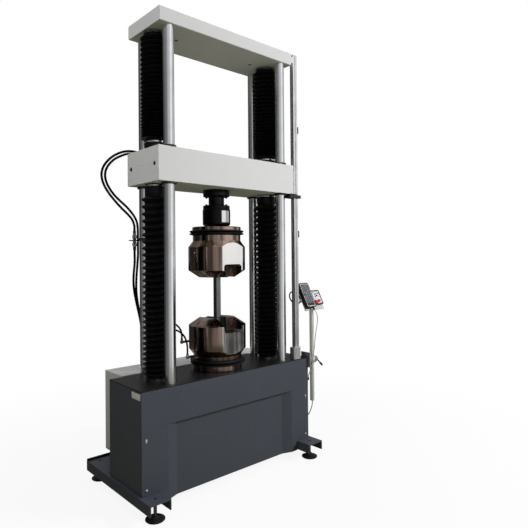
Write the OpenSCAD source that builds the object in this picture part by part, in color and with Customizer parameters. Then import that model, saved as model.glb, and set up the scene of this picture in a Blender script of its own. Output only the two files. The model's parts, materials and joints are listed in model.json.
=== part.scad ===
/* [Base cabinet] */
// Width of the base cabinet, left to right
base_w = 1378; // [1340:1:1460]
// Depth of the base cabinet, front to back
base_d = 400; // [392:1:420]
// Height of the tread plate's top above the floor
base_top = 709; // [690:1:740]
// Height of the cabinet's lower edge, which stands on the skids
base_low = 117; // [105:1:130]
// Height of the seam between the upper and lower panels
seam_z = 491; // [460:1:520]
// Thickness of the sheet-metal panels
sheet_t = 3; // [2:0.5:4]
// Thickness of the tread plate
tread_t = 6; // [4:1:8]
// Distance of the recess from each end of the front
recess_in = 249; // [230:1:290]
// Width of each slanted strip beside the recess
recess_slant = 75; // [50:1:90]
// Depth of the recess
recess_depth = 27; // [15:1:30]
// Height of the front panel's lower edge between the skids
front_low = 50; // [40:1:80]

/* [Skids and feet] */
// Distance of each skid's middle from the end of the base
skid_in = 51; // [40:1:68]
// Width of a skid channel
skid_w = 136; // [120:1:150]
// Height of a skid channel
skid_h = 62; // [50:1:70]
// Thickness of a skid channel
skid_t = 8; // [6:1:10]
// Reach of the skids in front of the load axis
skid_front = 317; // [300:1:340]
// Reach of the skids behind the load axis
skid_rear = 510; // [490:1:540]
// Distance of the front feet from the load axis
foot_front = 255; // [240:1:265]
// Distance of the rear feet from the load axis
foot_rear = 450; // [430:1:470]
// Radius of a foot pad
pad_r = 56; // [45:1:60]
// Height of a foot pad
pad_h = 24; // [18:1:30]
// Radius of a foot stud
stud_r = 10; // [8:1:12]

/* [Columns and top crosshead] */
// Distance of the columns and the screws from the end of the base
column_in = 223; // [210:1:240]
// Distance of the columns in front of and behind the screws
column_y = 147; // [140:1:150]
// Radius of a guide column
column_r = 35; // [32:1:37]
// Height of the top crosshead's underside
top_low = 2856; // [2820:1:2950]
// Height of the top crosshead
top_h = 85; // [75:1:110]
// Reach of the top crosshead beyond the columns' middles
top_over = 84; // [80:1:88]
// Depth of the top crosshead
top_d = 383; // [376:1:400]
// Distance from the middle to each lifting hole
lift_x = 314; // [280:1:340]
// Radius of a lifting hole
lift_r = 13; // [10:1:16]

/* [Moving crosshead] */
// Height of the moving crosshead's underside at rest
head_low = 1915; // [1900:1:1940]
// Height of the moving crosshead
head_h = 208; // [190:1:220]
// Reach of the moving crosshead beyond the columns' middles
head_over = 96; // [92:1:97]
// Depth of the moving crosshead
head_d = 382; // [378:1:388]

/* [Screws and bellows] */
// Radius of a ball screw
screw_r = 40; // [32:1:44]
// Outer radius of the screw bellows
bellows_r = 93; // [88:0.5:96]
// Depth of a bellows fold
fold_depth = 29; // [24:1:31]
// Number of folds above the crosshead
upper_folds = 26; // [20:1:30]
// Number of folds below the crosshead
lower_folds = 30; // [25:1:36]
// Height of the smooth collar on top of the crosshead
collar_h = 55; // [45:1:70]
// Height of the smooth collar below the crosshead
under_collar_h = 62; // [50:1:70]

/* [Load string] */
// Radius of the load cell adapter's flange
adapter_r = 90; // [80:1:100]
// Thickness of the adapter's flange
adapter_h = 43; // [35:1:50]
// Radius of the adapter's neck
neck_r = 53; // [45:1:56]
// Length of the adapter's neck
neck_h = 62; // [55:1:70]
// Radius of the load cell
cell_r = 94; // [88:1:100]
// Height of the load cell
cell_h = 146; // [130:1:160]
// Radius of the plate that carries a grip
plate_r = 165; // [158:1:175]
// Thickness of the plate above the upper grip
plate_h = 22; // [18:1:28]
// Thickness of the plate below the lower grip
foot_plate_h = 36; // [30:1:42]

/* [Grips] */
// Radius of a grip housing
grip_r = 193; // [185:1:200]
// Radius of the flat end around the mouth
mouth_r = 123; // [115:1:130]
// Height of the chamfer around the mouth
mouth_bevel = 47; // [40:1:52]
// Height of the housing's full diameter
grip_body_h = 155; // [145:1:165]
// Height of the cone between housing and neck
shoulder_h = 42; // [35:1:50]
// Radius of the housing's neck
grip_neck_r = 162; // [155:1:165]
// Length of the upper grip's neck
upper_neck_h = 40; // [34:1:46]
// Length of the lower grip's neck
lower_neck_h = 27; // [22:1:34]
// Outer radius of a grip's rubber boot
boot_r = 185; // [178:1:190]
// Height of the upper grip's rubber boot
upper_boot_h = 32; // [28:1:40]
// Height of the lower grip's rubber boot
lower_boot_h = 35; // [30:1:42]
// Distance of a housing's front and rear flats from the load axis
flat_y = 174; // [168:1:180]
// Width of the window in a housing
window_w = 146; // [130:1:156]
// Height of the window in a housing
window_h = 87; // [70:1:95]
// Corner radius of the window
window_corner = 20; // [10:1:30]
// Angle of the wedges
wedge_angle = 20; // [15:1:22]
// Half width of the wedge pocket at the mouth
pocket_mouth = 48; // [44:1:54]
// Depth of a jaw, front to back
jaw_d = 120; // [100:1:130]
// Height of a jaw
jaw_h = 110; // [100:1:115]
// Travel of a grip housing between closed and open
grip_stroke = 25; // [15:1:28]
// Width of the square test bar
bar_w = 36; // [20:1:40]

/* [Rear cabinet] */
// Distance of the electronics cabinet's ends from the ends of the base
cabinet_in = 89; // [70:1:140]
// Depth of the electronics cabinet
cabinet_d = 240; // [200:1:260]
// Gap between the base and the electronics cabinet
cabinet_gap = 11; // [5:1:20]
// Height of the electronics cabinet's underside
cabinet_low = 190; // [170:1:210]
// Height of the electronics cabinet's top
cabinet_top = 711; // [680:1:740]

/* [Limit rail] */
// Gap between the top crosshead's end and the rail
rail_gap = 18; // [16:1:22]
// Distance of the rail's middle in front of the load axis
rail_y = 174; // [166:1:176]
// Width of the rail
rail_w = 40; // [36:1:42]
// Depth of the rail
rail_d = 32; // [28:1:34]
// Height of the upper stop's middle
upper_stop_z = 2390; // [2390:1:2450]
// Height of the lower stop's middle
lower_stop_z = 1624; // [1580:1:1640]

/* [Operator pole] */
// Gap between the base's side and the pole
pole_gap = 29.5; // [24:0.5:34]
// Distance of the pole in front of the load axis
pole_y = 200; // [190:1:210]
// Radius of the pole
pole_r = 16.5; // [15:0.5:19]
// Height of the pole's lower end
pole_low = 380; // [340:1:420]
// Height of the pole's upper end
pole_top = 1050; // [1000:1:1100]
// Height of the pole clamp's middle
clamp_z = 688; // [650:1:700]
// Lean of the handset and the control box
head_lean = 27.5; // [10:0.5:40]
// Width of the handset
handset_w = 100; // [80:1:104]
// Length of the handset
handset_l = 200; // [170:1:210]
// Thickness of the handset
handset_t = 30; // [24:1:36]
// Width of the control box
box_w = 104; // [90:1:120]
// Length of the control box
box_l = 118; // [100:1:130]
// Thickness of the control box
box_t = 15; // [15:1:24]

/* [Hidden] */
$fn = 64;

// Shared fits and overruns
cut = 1;
fit_gap = 0.05;
free_gap = 0.3;
tread_gap = 10;
seat_gap = 0.3;

// Colours
slate = [0.27, 0.28, 0.30];
dark = [0.09, 0.09, 0.10];
pale = [0.84, 0.85, 0.86];
chrome = [0.82, 0.83, 0.85];
steel = [0.60, 0.60, 0.61];
nickel = [0.62, 0.58, 0.55];
rubber = [0.05, 0.05, 0.05];
alloy = [0.75, 0.76, 0.77];
red = [0.80, 0.08, 0.08];

// Widths that follow the base
column_x = base_w / 2 - column_in;
skid_x = base_w / 2 - skid_in;
recess_w = base_w - 2 * recess_in;
cabinet_w = base_w - 2 * cabinet_in;
top_w = 2 * (column_x + top_over);
head_w = 2 * (column_x + head_over);
rail_x = top_w / 2 + rail_gap + rail_w / 2;

// Heights along the load string
lower_mouth = base_top + foot_plate_h + lower_boot_h + lower_neck_h + shoulder_h + grip_body_h + mouth_bevel;
adapter_low = head_low - adapter_h - neck_h;
plate_top = adapter_low - cell_h;
upper_boot_top = plate_top - plate_h;
upper_boot_low = upper_boot_top - upper_boot_h;
upper_mouth = upper_boot_low - upper_neck_h - shoulder_h - grip_body_h - mouth_bevel;

// Heights of the main frame
beam_top = base_top - tread_t;
beam_h = 160;
beam_low = beam_top - beam_h;
beam_inset = 25;
beam_w = base_w - 2 * beam_inset;
beam_d = base_d - 2 * beam_inset;
end_wall_t = 30;
end_foot_w = 56;
top_high = top_low + top_h;
head_high = head_low + head_h;
spigot_r = 25;
spigot_h = 60;
edge_bevel = 3;

// Drive inside the base
bearing_r = 72;
bearing_h = 110;
journal_r = 32;
pulley_r = 88;
pulley_h = 46;
pulley_drop = 24;
pulley_rim = 3;
pulley_low = beam_low - pulley_drop - pulley_h;
belt_t = 4;
belt_w = 20;
belt_lift = 2;
motor_r = 42;
motor_w = 180;
motor_h = 250;
motor_y = 60;
motor_shaft_r = 14;
motor_plate_t = 14;
motor_post_r = 10;
motor_post_in = 24;
motor_fin = 6;
motor_fins = 9;
motor_gap = 6;

// Collars and bands of the screw bellows
collar_wall = 8;
collar_r = 70;
cuff_h = 10;
band_h = 9;
band_t = 2;
low_collar_h = 15;
foot_collar_h = 14;
bellows_wall = 3;
upper_growth_share = 0.36;
lower_growth_share = 0.22;

// Bolts of the load string and the panels
bolt_r = 7;
bolt_h = 9;
string_bolt_n = 10;
panel_screw_r = 8;
panel_screw_h = 4;
panel_screw_in = 30;
panel_screw_low = 30;
panel_screw_high = 67;
top_screw_in = 42;
top_screw_x = column_x - top_screw_in;
top_screw_r = 4;
panel_hole_in = 35;
panel_hole_x = column_x - panel_hole_in;
panel_hole_drop = 46;
panel_hole_r = 3;
side_hole_z = 555;
side_hole_step = 26;

// Inside of a grip, measured from the mouth
pocket_play = 5;
pocket_depth = jaw_h + grip_stroke + pocket_play;
piston_r = 60;
cylinder_wall = 40;
cylinder_low = pocket_depth + cylinder_wall;
piston_head_r = 128;
piston_head_low = cylinder_low + pocket_play;
piston_head_h = 28;
jaw_lip = 4;
face_t = 10;
face_d = 70;
face_h = 76;
tee_web = 12;
tee_foot = 22;
tee_mid = 98;
tee_low = 87;
tee_reach = 66;
jaw_screw_r = 6;
jaw_screw_h = 4;
jaw_screw_z = 34;
jaw_screw_step = 34;
elbow_r = 8;
elbow_knob_r = 12;
jaw_slide_share = tan(wedge_angle);

// Rail, arm and stops
groove_w = 10;
groove_mouth = 6;
groove_d = 9;
groove_lip = 2.5;
block_w = 67;
block_d = 51;
block_h = 84;
block_bevel = 10;
arm_over = 50;
arm_start = column_x + arm_over;
arm_t = 30;
arm_ring = 14;
arm_gap = 2;
stop_w = 12;
stop_h = 48;
stop_knob_r = 7;
stop_knob_h = 6;

// Pole clamp and operator head
pole_x = base_w / 2 + pole_r + pole_gap;
clamp_plate_t = 8;
clamp_plate_w = 90;
clamp_plate_h = 110;
clamp_wall = 14;
clamp_h = 40;
ear_w = 16;
ear_l = 22;
lever_hub_r = 10;
lever_hub_l = 16;
lever_l = 64;
lever_r = 5;
lever_knob_r = 8;
lever_knob_l = 26;
lever_angle = 42;
pole_wall = 3;
head_drop = 12;
holder_t = 8;
holder_l = 150;
holder_left = 66;
holder_right = 142;
handset_left = 66;
handset_low = 5;
box_left = 36;
box_low = 26;
face_drop = 1;
screen_w = 60;
screen_l = 70;
screen_t = 1.5;
screen_z = 105;
key_n = 3;
key_w = 16;
key_h = 10;
key_step = 22;
key_low = 25;
ring_r = 52;
ring_bar_r = 5;
ring_x = -43;
ring_z = 130;
ring_back = 80;
estop_x = 54;
estop_z = 45;
estop_r = 15;
estop_h = 12;
estop_stem_r = 9;
estop_stem_h = 10;
knob_x = 98;
knob_z = 55;
knob_r = 10;
knob_h = 12;

// Hoses and cables
hose_d = 15;
grip_hose_d = 12;
cable_d = 6;
gland_r = 13;
gland_h = 24;
cable_gland_h = 16;
hose_sides = 10;
cable_sides = 8;
outer_points = [[-400, 216, 2060], [-400, 216, 2078], [-407, 216, 2104], [-428, 214, 2128],
    [-460, 211, 2142], [-499, 208, 2149], [-551, 206, 2146], [-601, 204, 2131], [-651, 203, 2103],
    [-691, 203, 2067], [-720, 203, 2025], [-731, 203, 1982], [-726, 203, 1943], [-710, 203, 1905],
    [-686, 203, 1869], [-657, 203, 1835], [-625, 203, 1802], [-592, 203, 1771], [-557, 203, 1741],
    [-527, 203, 1709], [-512, 203, 1673], [-510, 203, 1640], [-510, 203, 1570], [-510, 203, 1500],
    [-508, 207, 1430], [-512, 212, 1362], [-513, 215, 1306], [-507, 217, 1246], [-494, 219, 1184],
    [-480, 222, 1129], [-466, 226, 1079], [-452, 231, 1020], [-440, 236, 950], [-432, 241, 870],
    [-430, 243, 800], [-430, 243, 735]];
inner_points = [[-370, 216, 2060], [-370, 216, 2078], [-374, 222, 2096], [-386, 230, 2110],
    [-408, 235, 2121], [-440, 236, 2130], [-475, 234, 2137], [-512, 230, 2138], [-552, 226, 2130],
    [-595, 223, 2111], [-635, 222, 2087], [-669, 222, 2054], [-692, 222, 2016], [-699, 222, 1978],
    [-692, 222, 1941], [-676, 222, 1908], [-653, 222, 1876], [-625, 222, 1847], [-593, 222, 1820],
    [-560, 222, 1794], [-529, 222, 1764], [-502, 222, 1732], [-484, 221, 1697], [-478, 220, 1660],
    [-477, 219, 1625], [-477, 219, 1570], [-477, 219, 1515], [-476, 221, 1480], [-480, 224, 1408],
    [-485, 227, 1335], [-486, 229, 1269], [-481, 232, 1213], [-471, 236, 1158], [-459, 241, 1108],
    [-444, 248, 1050], [-428, 255, 980], [-416, 260, 890], [-408, 264, 800], [-408, 264, 735]];
high_route = [[-245, 65, 926], [-245, 65, 946], [-250, 69, 980], [-267, 83, 1010], [-292, 104, 1030],
    [-318, 126, 1034], [-346, 150, 1018], [-370, 168, 982], [-388, 179, 930], [-397, 184, 866],
    [-399, 184, 800], [-399, 184, 733]];
low_route = [[-222, 34, 828], [-222, 34, 858], [-228, 33, 900], [-242, 36, 938], [-262, 46, 966],
    [-286, 66, 984], [-310, 92, 984], [-334, 122, 962], [-353, 148, 922], [-366, 166, 868],
    [-372, 173, 800], [-372, 173, 733]];
handset_points = [[737, -217, 1076], [738, -223, 1066], [742, -228, 1055], [748, -232, 1043],
    [754, -235, 1029], [758, -237, 1010], [760, -237, 988], [758, -237, 966], [753, -237, 940],
    [744, -237, 908], [734, -237, 864], [727, -237, 820], [723, -237, 785], [716, -236, 745],
    [709, -234, 704], [705, -228, 660], [702, -219, 624], [701, -207, 594], [701, -197, 576],
    [701, -194, 566], [701, -194, 556]];
pole_points = [[735, -200, 380], [735, -200, 362], [731, -199, 338], [722, -196, 312], [712, -193, 291],
    [705, -192, 283], [699, -192, 283]];
clip_point = 22;
inner_clip_point = 25;
drawn_column_x = 466;
drawn_pole_x = 735;
outer_route = [for (p = outer_points) [p.x + drawn_column_x - column_x, p.y, p.z]];
inner_route = [for (p = inner_points) [p.x + drawn_column_x - column_x, p.y, p.z]];
handset_route = [for (p = handset_points) [p.x + pole_x - drawn_pole_x, p.y, p.z]];
pole_route = [for (p = pole_points) [p.x + pole_x - drawn_pole_x, p.y, p.z]];

// A box between two corners
module block(low, high) {
    translate(low) cube(high - low);
}

// The children on the left and on the right
module both_sides(x) {
    for (side = [-1, 1]) translate([side * x, 0, 0]) children();
}

// The children at the four columns
module at_columns() {
    for (side = [-1, 1], row = [-1, 1]) translate([side * column_x, row * column_y, 0]) children();
}

// A ring with a square section
module ring(outer, inner, height) {
    difference() {
        cylinder(r = outer, h = height);
        translate([0, 0, -cut]) cylinder(r = inner, h = height + 2 * cut);
    }
}

// A rod along X, Y or Z from its start
module rod_x(radius, length) {
    rotate([0, 90, 0]) cylinder(r = radius, h = length);
}
module rod_y(radius, length) {
    rotate([-90, 0, 0]) cylinder(r = radius, h = length);
}

// A circle of bolt heads that stand up from z = 0
module bolt_circle(count, radius, head_r, head_h) {
    for (i = [0 : count - 1]) rotate([0, 0, (i + 1 / 2) * 360 / count]) translate([radius, 0, 0])
        cylinder(r = head_r, h = head_h, $fn = 24);
}

// A plate with rounded corners, drawn flat from its centre
module rounded_plate(w, d, r) {
    square([w - 2 * r, d], center = true);
    square([w, d - 2 * r], center = true);
    for (x = [-1, 1], y = [-1, 1]) translate([x * (w / 2 - r), y * (d / 2 - r)]) circle(r = r);
}

// Directions and frames along a route, then the tube that follows it
function unit(v) = v / norm(v);
function route_dir(p, i) = unit(p[min(i + 1, len(p) - 1)] - p[max(i - 1, 0)]);
function route_side(d) = unit(abs(d.z) > 0.9 ? cross(d, [0, 1, 0]) : cross(d, [0, 0, 1]));
function carried_side(p, i, last) = let (d = route_dir(p, i)) unit(last - (last * d) * d);
function route_sides(p, i, last) =
    i >= len(p) ? [] : let (s = carried_side(p, i, last)) concat([s], route_sides(p, i + 1, s));
module tube(p, diameter, sides) {
    normals = route_sides(p, 0, route_side(route_dir(p, 0)));
    points = [for (i = [0 : len(p) - 1], k = [0 : sides - 1])
        let (d = route_dir(p, i), a = 360 * k / sides)
        p[i] + diameter / 2 * (cos(a) * normals[i] + sin(a) * cross(d, normals[i]))];
    walls = [for (i = [0 : len(p) - 2], k = [0 : sides - 1]) let (n = (k + 1) % sides)
        [i * sides + k, i * sides + n, (i + 1) * sides + n, (i + 1) * sides + k]];
    first = [for (k = [0 : sides - 1]) k];
    last = [for (k = [sides - 1 : -1 : 0]) (len(p) - 1) * sides + k];
    polyhedron(points, concat([first], [for (w = walls) [w[3], w[2], w[1], w[0]]], [last]), convexity = 8);
}

// Skids, platform and feet
module skid_profile() {
    difference() {
        translate([-skid_w / 2, base_low - skid_h]) square([skid_w, skid_h]);
        translate([skid_t - skid_w / 2, base_low - skid_h - cut])
            square([skid_w - 2 * skid_t, skid_h - skid_t + cut]);
    }
}
module at_feet() {
    for (side = [-1, 1], y = [-foot_front, foot_rear]) translate([side * skid_x, y, 0]) children();
}
module skid_frame() {
    platform_y = base_d / 2 + sheet_t;
    half = skid_x - skid_w / 2;
    lip = 40;
    color(slate) difference() {
        union() {
            both_sides(skid_x) translate([0, skid_rear, 0]) rotate([90, 0, 0])
                linear_extrude(height = skid_front + skid_rear) skid_profile();
            block([-half, platform_y, base_low - skid_t], [half, skid_rear, base_low]);
            for (y = [platform_y, skid_rear - skid_t])
                block([-half, y, base_low - lip], [half, y + skid_t, base_low]);
        }
        at_feet() translate([0, 0, base_low - skid_h - cut])
            cylinder(r = stud_r + fit_gap, h = skid_h + 2 * cut);
    }
}
module foot_pads() {
    rim = 8;
    hub_r = 24;
    color(dark) at_feet() rotate_extrude() polygon([[0, 0], [pad_r - rim / 2, 0], [pad_r, rim / 2],
        [pad_r, rim], [hub_r + rim / 2, pad_h - rim / 2], [hub_r, pad_h], [0, pad_h]]);
}
module foot_bolts() {
    nut_r = 17;
    nut_h = 14;
    color(steel) at_feet() {
        translate([0, 0, pad_h]) cylinder(r = stud_r, h = base_low - skid_t / 2 - pad_h);
        translate([0, 0, base_low - skid_t - nut_h]) cylinder(r = nut_r, h = nut_h, $fn = 6);
        translate([0, 0, pad_h]) cylinder(r = nut_r, h = nut_h / 2, $fn = 6);
    }
}

// Frame of the base: a deep beam on two end walls
module base_frame() {
    color(slate) difference() {
        union() {
            block([-beam_w / 2, -beam_d / 2, beam_low], [beam_w / 2, beam_d / 2, beam_top]);
            both_sides(skid_x) block([-end_wall_t / 2, -beam_d / 2, base_low],
                [end_wall_t / 2, beam_d / 2, beam_low]);
            both_sides(skid_x) block([-end_foot_w / 2, -beam_d / 2, base_low],
                [end_foot_w / 2, beam_d / 2, base_low + end_wall_t / 2]);
        }
        both_sides(column_x) translate([0, 0, beam_low - cut])
            cylinder(r = bearing_r + fit_gap, h = beam_h + 2 * cut);
        at_columns() translate([0, 0, beam_top - spigot_h - cut])
            cylinder(r = spigot_r + fit_gap, h = spigot_h + 2 * cut);
    }
}
module tread_plate() {
    color(dark) difference() {
        block([-base_w / 2, -base_d / 2, beam_top], [base_w / 2, base_d / 2, base_top]);
        at_columns() translate([0, 0, beam_top - cut])
            cylinder(r = column_r + fit_gap, h = tread_t + 2 * cut);
        both_sides(column_x) translate([0, 0, beam_top - cut])
            cylinder(r = screw_r + tread_gap, h = tread_t + 2 * cut);
    }
}
module upper_front_panel() {
    lip = 36;
    color(slate) difference() {
        union() {
            block([-base_w / 2, -base_d / 2, seam_z], [base_w / 2, sheet_t - base_d / 2, beam_top]);
            block([sheet_t - base_w / 2, -base_d / 2, seam_z],
                [base_w / 2 - sheet_t, lip - base_d / 2, seam_z + sheet_t]);
        }
        both_sides(panel_hole_x) translate([0, -base_d / 2 - cut, base_top - panel_hole_drop])
            rod_y(panel_hole_r, sheet_t + 2 * cut);
        both_sides(skid_x) block([-end_foot_w, beam_inset - base_d / 2 - free_gap, seam_z - cut],
            [end_foot_w, lip - base_d / 2 + cut, seam_z + sheet_t + cut]);
    }
}
module lower_front_panel() {
    flat_x = recess_w / 2 + recess_slant;
    face = [[-base_w / 2, -base_d / 2], [-flat_x, -base_d / 2], [-recess_w / 2, recess_depth - base_d / 2],
        [recess_w / 2, recess_depth - base_d / 2], [flat_x, -base_d / 2], [base_w / 2, -base_d / 2]];
    back = [for (i = [len(face) - 1 : -1 : 0]) face[i] + [0, sheet_t]];
    seam_gap = 1;
    color(slate) difference() {
        translate([0, 0, front_low]) linear_extrude(height = seam_z - seam_gap - front_low)
            polygon(concat(face, back));
        both_sides(skid_x) block([-skid_w / 2 - free_gap, -base_d, 0], [skid_w, 0, base_low]);
    }
}
module side_panels() {
    half = base_w / 2;
    y = base_d / 2 - sheet_t;
    seam_gap = 1;
    lip = 20;
    color(slate) difference() {
        for (side = [0, 1]) mirror([side, 0, 0]) {
            block([half - sheet_t, -y, base_low], [half, y, seam_z - seam_gap]);
            block([half - sheet_t, -y, seam_z], [half, y, beam_top]);
            block([half - lip, -y, base_low], [half - sheet_t, y, base_low + sheet_t]);
        }
        for (i = [0, 1])
            translate([-half - cut, -i * side_hole_step / 2, side_hole_z + (1 - i) * side_hole_step])
            rod_x(panel_hole_r, sheet_t + 2 * cut);
    }
}
module rear_panel() {
    louvre_w = 120;
    louvre_h = 8;
    louvre_step = 24;
    louvre_n = 6;
    color(slate) difference() {
        block([-base_w / 2, base_d / 2 - sheet_t, base_low], [base_w / 2, base_d / 2, beam_top]);
        for (x = [-1, 1], i = [0 : louvre_n - 1])
            translate([louvre_w * (2 * x - 1 / 2), base_d / 2 - sheet_t, base_low + louvre_step * (i + 2)])
            translate([0, -cut, 0]) cube([louvre_w, sheet_t + 2 * cut, louvre_h]);
    }
}
module screw_head(radius, height) {
    rotate([90, 0, 0]) rotate_extrude() polygon([[0, 0], [radius, 0], [radius, height / 3],
        [radius * 2 / 3, height], [0, height]]);
}
module panel_screws() {
    color(chrome) {
        for (z = [base_low + panel_screw_low, seam_z - panel_screw_high])
            both_sides(base_w / 2 - panel_screw_in) translate([0, -base_d / 2, z])
            screw_head(panel_screw_r, panel_screw_h);
        both_sides(top_screw_x) translate([0, -top_d / 2, top_high - top_h / 4])
            screw_head(top_screw_r, top_screw_r / 2);
    }
}

// Columns, top crosshead and drive
module guide_columns() {
    color(chrome) at_columns() {
        translate([0, 0, beam_top]) cylinder(r = column_r, h = top_low - beam_top);
        translate([0, 0, beam_top - spigot_h]) cylinder(r = spigot_r, h = spigot_h);
        translate([0, 0, top_low]) cylinder(r = spigot_r, h = spigot_h);
    }
}
module bevelled_beam(w, d, h, b) {
    rotate([90, 0, 90]) translate([0, 0, -w / 2]) linear_extrude(height = w)
        polygon([[b - d / 2, 0], [d / 2 - b, 0], [d / 2, b], [d / 2, h - b], [d / 2 - b, h],
            [b - d / 2, h], [-d / 2, h - b], [-d / 2, b]]);
}
module top_beam() {
    bore = journal_r + collar_wall * 3;
    color(pale) difference() {
        translate([0, 0, top_low]) bevelled_beam(top_w, top_d, top_h, edge_bevel);
        at_columns() translate([0, 0, top_low - cut]) cylinder(r = spigot_r + fit_gap, h = spigot_h + cut);
        both_sides(column_x) translate([0, 0, top_low - cut])
            cylinder(r = bore + fit_gap, h = spigot_h + cut);
        both_sides(lift_x) translate([0, 0, top_low - cut]) cylinder(r = lift_r, h = top_h + 2 * cut);
    }
}
module screw_bearings() {
    bore = journal_r + collar_wall * 3;
    color(steel) both_sides(column_x) {
        translate([0, 0, beam_low]) ring(bearing_r, journal_r + fit_gap, bearing_h);
        translate([0, 0, top_low]) ring(bore, journal_r + fit_gap, spigot_h - cut);
    }
}
module ball_screw() {
    shoulder = beam_low + bearing_h + free_gap;
    color(steel) {
        translate([0, 0, shoulder]) cylinder(r = screw_r, h = top_low - free_gap - shoulder);
        translate([0, 0, pulley_low]) cylinder(r = journal_r, h = shoulder - pulley_low);
        translate([0, 0, top_low - free_gap]) cylinder(r = journal_r, h = spigot_h - cut);
        translate([0, 0, pulley_low]) cylinder(r = pulley_r, h = pulley_h);
        for (z = [pulley_low - pulley_rim, pulley_low + pulley_h])
            translate([0, 0, z]) cylinder(r = pulley_r + belt_t, h = pulley_rim);
    }
}
module left_ball_screw() {
    translate([-column_x, 0, 0]) ball_screw();
}
module right_ball_screw() {
    translate([column_x, 0, 0]) ball_screw();
}
module servo_motor() {
    top = pulley_low - pulley_rim - motor_gap;
    low = top - motor_plate_t - motor_h;
    color(dark) translate([0, motor_y, 0]) {
        difference() {
            translate([0, 0, low]) linear_extrude(height = motor_h)
                rounded_plate(motor_w, motor_w, motor_shaft_r);
            for (x = [-1, 1], i = [1 : motor_fins]) {
                fin_y = i * motor_w / (motor_fins + 1) - motor_w / 2 - motor_fin / 2;
                translate([x * motor_w / 2 - motor_fin, fin_y, low - cut])
                    cube([2 * motor_fin, motor_fin, motor_h * 2 / 3]);
            }
            translate([0, 0, top - motor_plate_t - motor_h / 3])
                cylinder(r = motor_shaft_r + fit_gap, h = motor_h);
        }
        difference() {
            block([-motor_w, -motor_w / 2, top - motor_plate_t], [motor_w, motor_w / 2, top]);
            translate([0, 0, top - motor_plate_t - cut])
                cylinder(r = motor_shaft_r + fit_gap, h = motor_plate_t + 2 * cut);
        }
        for (x = [-1, 1], y = [-1, 1])
            translate([x * (motor_w - motor_post_in), y * (motor_w / 2 - motor_post_in), top])
            cylinder(r = motor_post_r, h = beam_low - top);
    }
}
module motor_pulley() {
    top = pulley_low - pulley_rim - motor_gap;
    color(steel) translate([0, motor_y, 0]) {
        translate([0, 0, top - motor_plate_t - motor_h / 3]) cylinder(r = motor_shaft_r,
            h = pulley_low - top + motor_plate_t + motor_h / 3);
        translate([0, 0, pulley_low]) cylinder(r = motor_r, h = pulley_h);
        for (z = [pulley_low - pulley_rim, pulley_low + pulley_h])
            translate([0, 0, z]) cylinder(r = motor_r + belt_t, h = pulley_rim);
    }
}
module belt_outline(side, grow) {
    hull() {
        translate([0, motor_y]) circle(r = motor_r + grow);
        translate([side * column_x, 0]) circle(r = pulley_r + grow);
    }
}
module drive_belts() {
    color(rubber) for (side = [-1, 1])
        translate([0, 0, pulley_low + belt_lift + (side + 1) / 2 * (belt_w + belt_lift)])
        linear_extrude(height = belt_w) difference() {
            belt_outline(side, belt_t - free_gap);
            belt_outline(side, free_gap);
        }
}

// Bellows over the ball screws
function fold_z(low, high, n, k, growth) =
    let (s = k / n) low + (high - low) * (s + growth * s * (s - 1));
module screw_bellows(low, high, folds, growth) {
    crest = [for (k = [0 : 2 * folds]) [bellows_r - (k % 2 == 0 ? fold_depth : 0),
        fold_z(low + cuff_h, high - cuff_h, 2 * folds, k, growth)]];
    inner = [for (k = [2 * folds : -1 : 0]) crest[k] - [bellows_wall, 0]];
    cuff = bellows_r - fold_depth;
    rotate_extrude() polygon(concat([[cuff - bellows_wall, low], [cuff, low]], crest,
        [[cuff, high], [cuff - bellows_wall, high]], inner));
}
upper_bellows_low = head_high + collar_h;
upper_bellows_high = top_low - low_collar_h;
lower_bellows_low = base_top + foot_collar_h;
lower_bellows_high = head_low - under_collar_h;
module upper_bellows() {
    color(rubber) both_sides(column_x)
        screw_bellows(upper_bellows_low, upper_bellows_high, upper_folds, upper_growth_share);
}
module lower_bellows() {
    color(rubber) both_sides(column_x)
        screw_bellows(lower_bellows_low, lower_bellows_high, lower_folds, lower_growth_share);
}
module collar(low, height) {
    translate([0, 0, low]) ring(collar_r, collar_r - collar_wall, height);
}
module bellows_bands() {
    color(chrome) both_sides(column_x) {
        collar(base_top, foot_collar_h);
        collar(top_low - low_collar_h, low_collar_h);
        translate([0, 0, base_top + foot_collar_h - band_h]) ring(collar_r + band_t, collar_r, band_h);
        translate([0, 0, top_low - low_collar_h]) ring(collar_r + band_t, collar_r, band_h);
    }
}

// Moving crosshead
nut_r = 60;
guide_r = 46;
guide_flange = 14;
plug_r = 10;
plug_depth = 30;
module crosshead_beam() {
    w = head_w - 2 * sheet_t;
    d = head_d - 2 * sheet_t;
    color(pale) difference() {
        block([-w / 2, -d / 2, head_low], [w / 2, d / 2, head_high]);
        at_columns() translate([0, 0, head_low - cut])
            cylinder(r = guide_r - guide_flange / 2 + fit_gap, h = head_h + 2 * cut);
        both_sides(column_x) translate([0, 0, head_low - cut])
            cylinder(r = nut_r + fit_gap, h = head_h + 2 * cut);
        for (y = [-1, 1]) translate([-w / 2 - cut, y * head_d * 3 / 8, head_low + head_h / 2])
            rod_x(plug_r, plug_depth + cut);
    }
}
module crosshead_covers() {
    color(pale) difference() {
        translate([0, 0, head_low]) linear_extrude(height = head_h) difference() {
            square([head_w, head_d], center = true);
            square([head_w - 2 * sheet_t, head_d - 2 * sheet_t], center = true);
        }
        for (y = [-1, 1]) translate([-head_w / 2 - cut, y * head_d * 3 / 8, head_low + head_h / 2])
            rod_x(plug_r, sheet_t + 2 * cut);
    }
}
module crosshead_glands() {
    color(dark) for (p = [outer_route[0], inner_route[0]]) translate([p.x, p.y, p.z - 2 * gland_h]) {
        translate([0, head_d / 2 - p.y, 0]) rod_y(gland_r, p.y - head_d / 2);
        sphere(r = gland_r);
        cylinder(r = gland_r, h = 2 * gland_h);
    }
}
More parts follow.
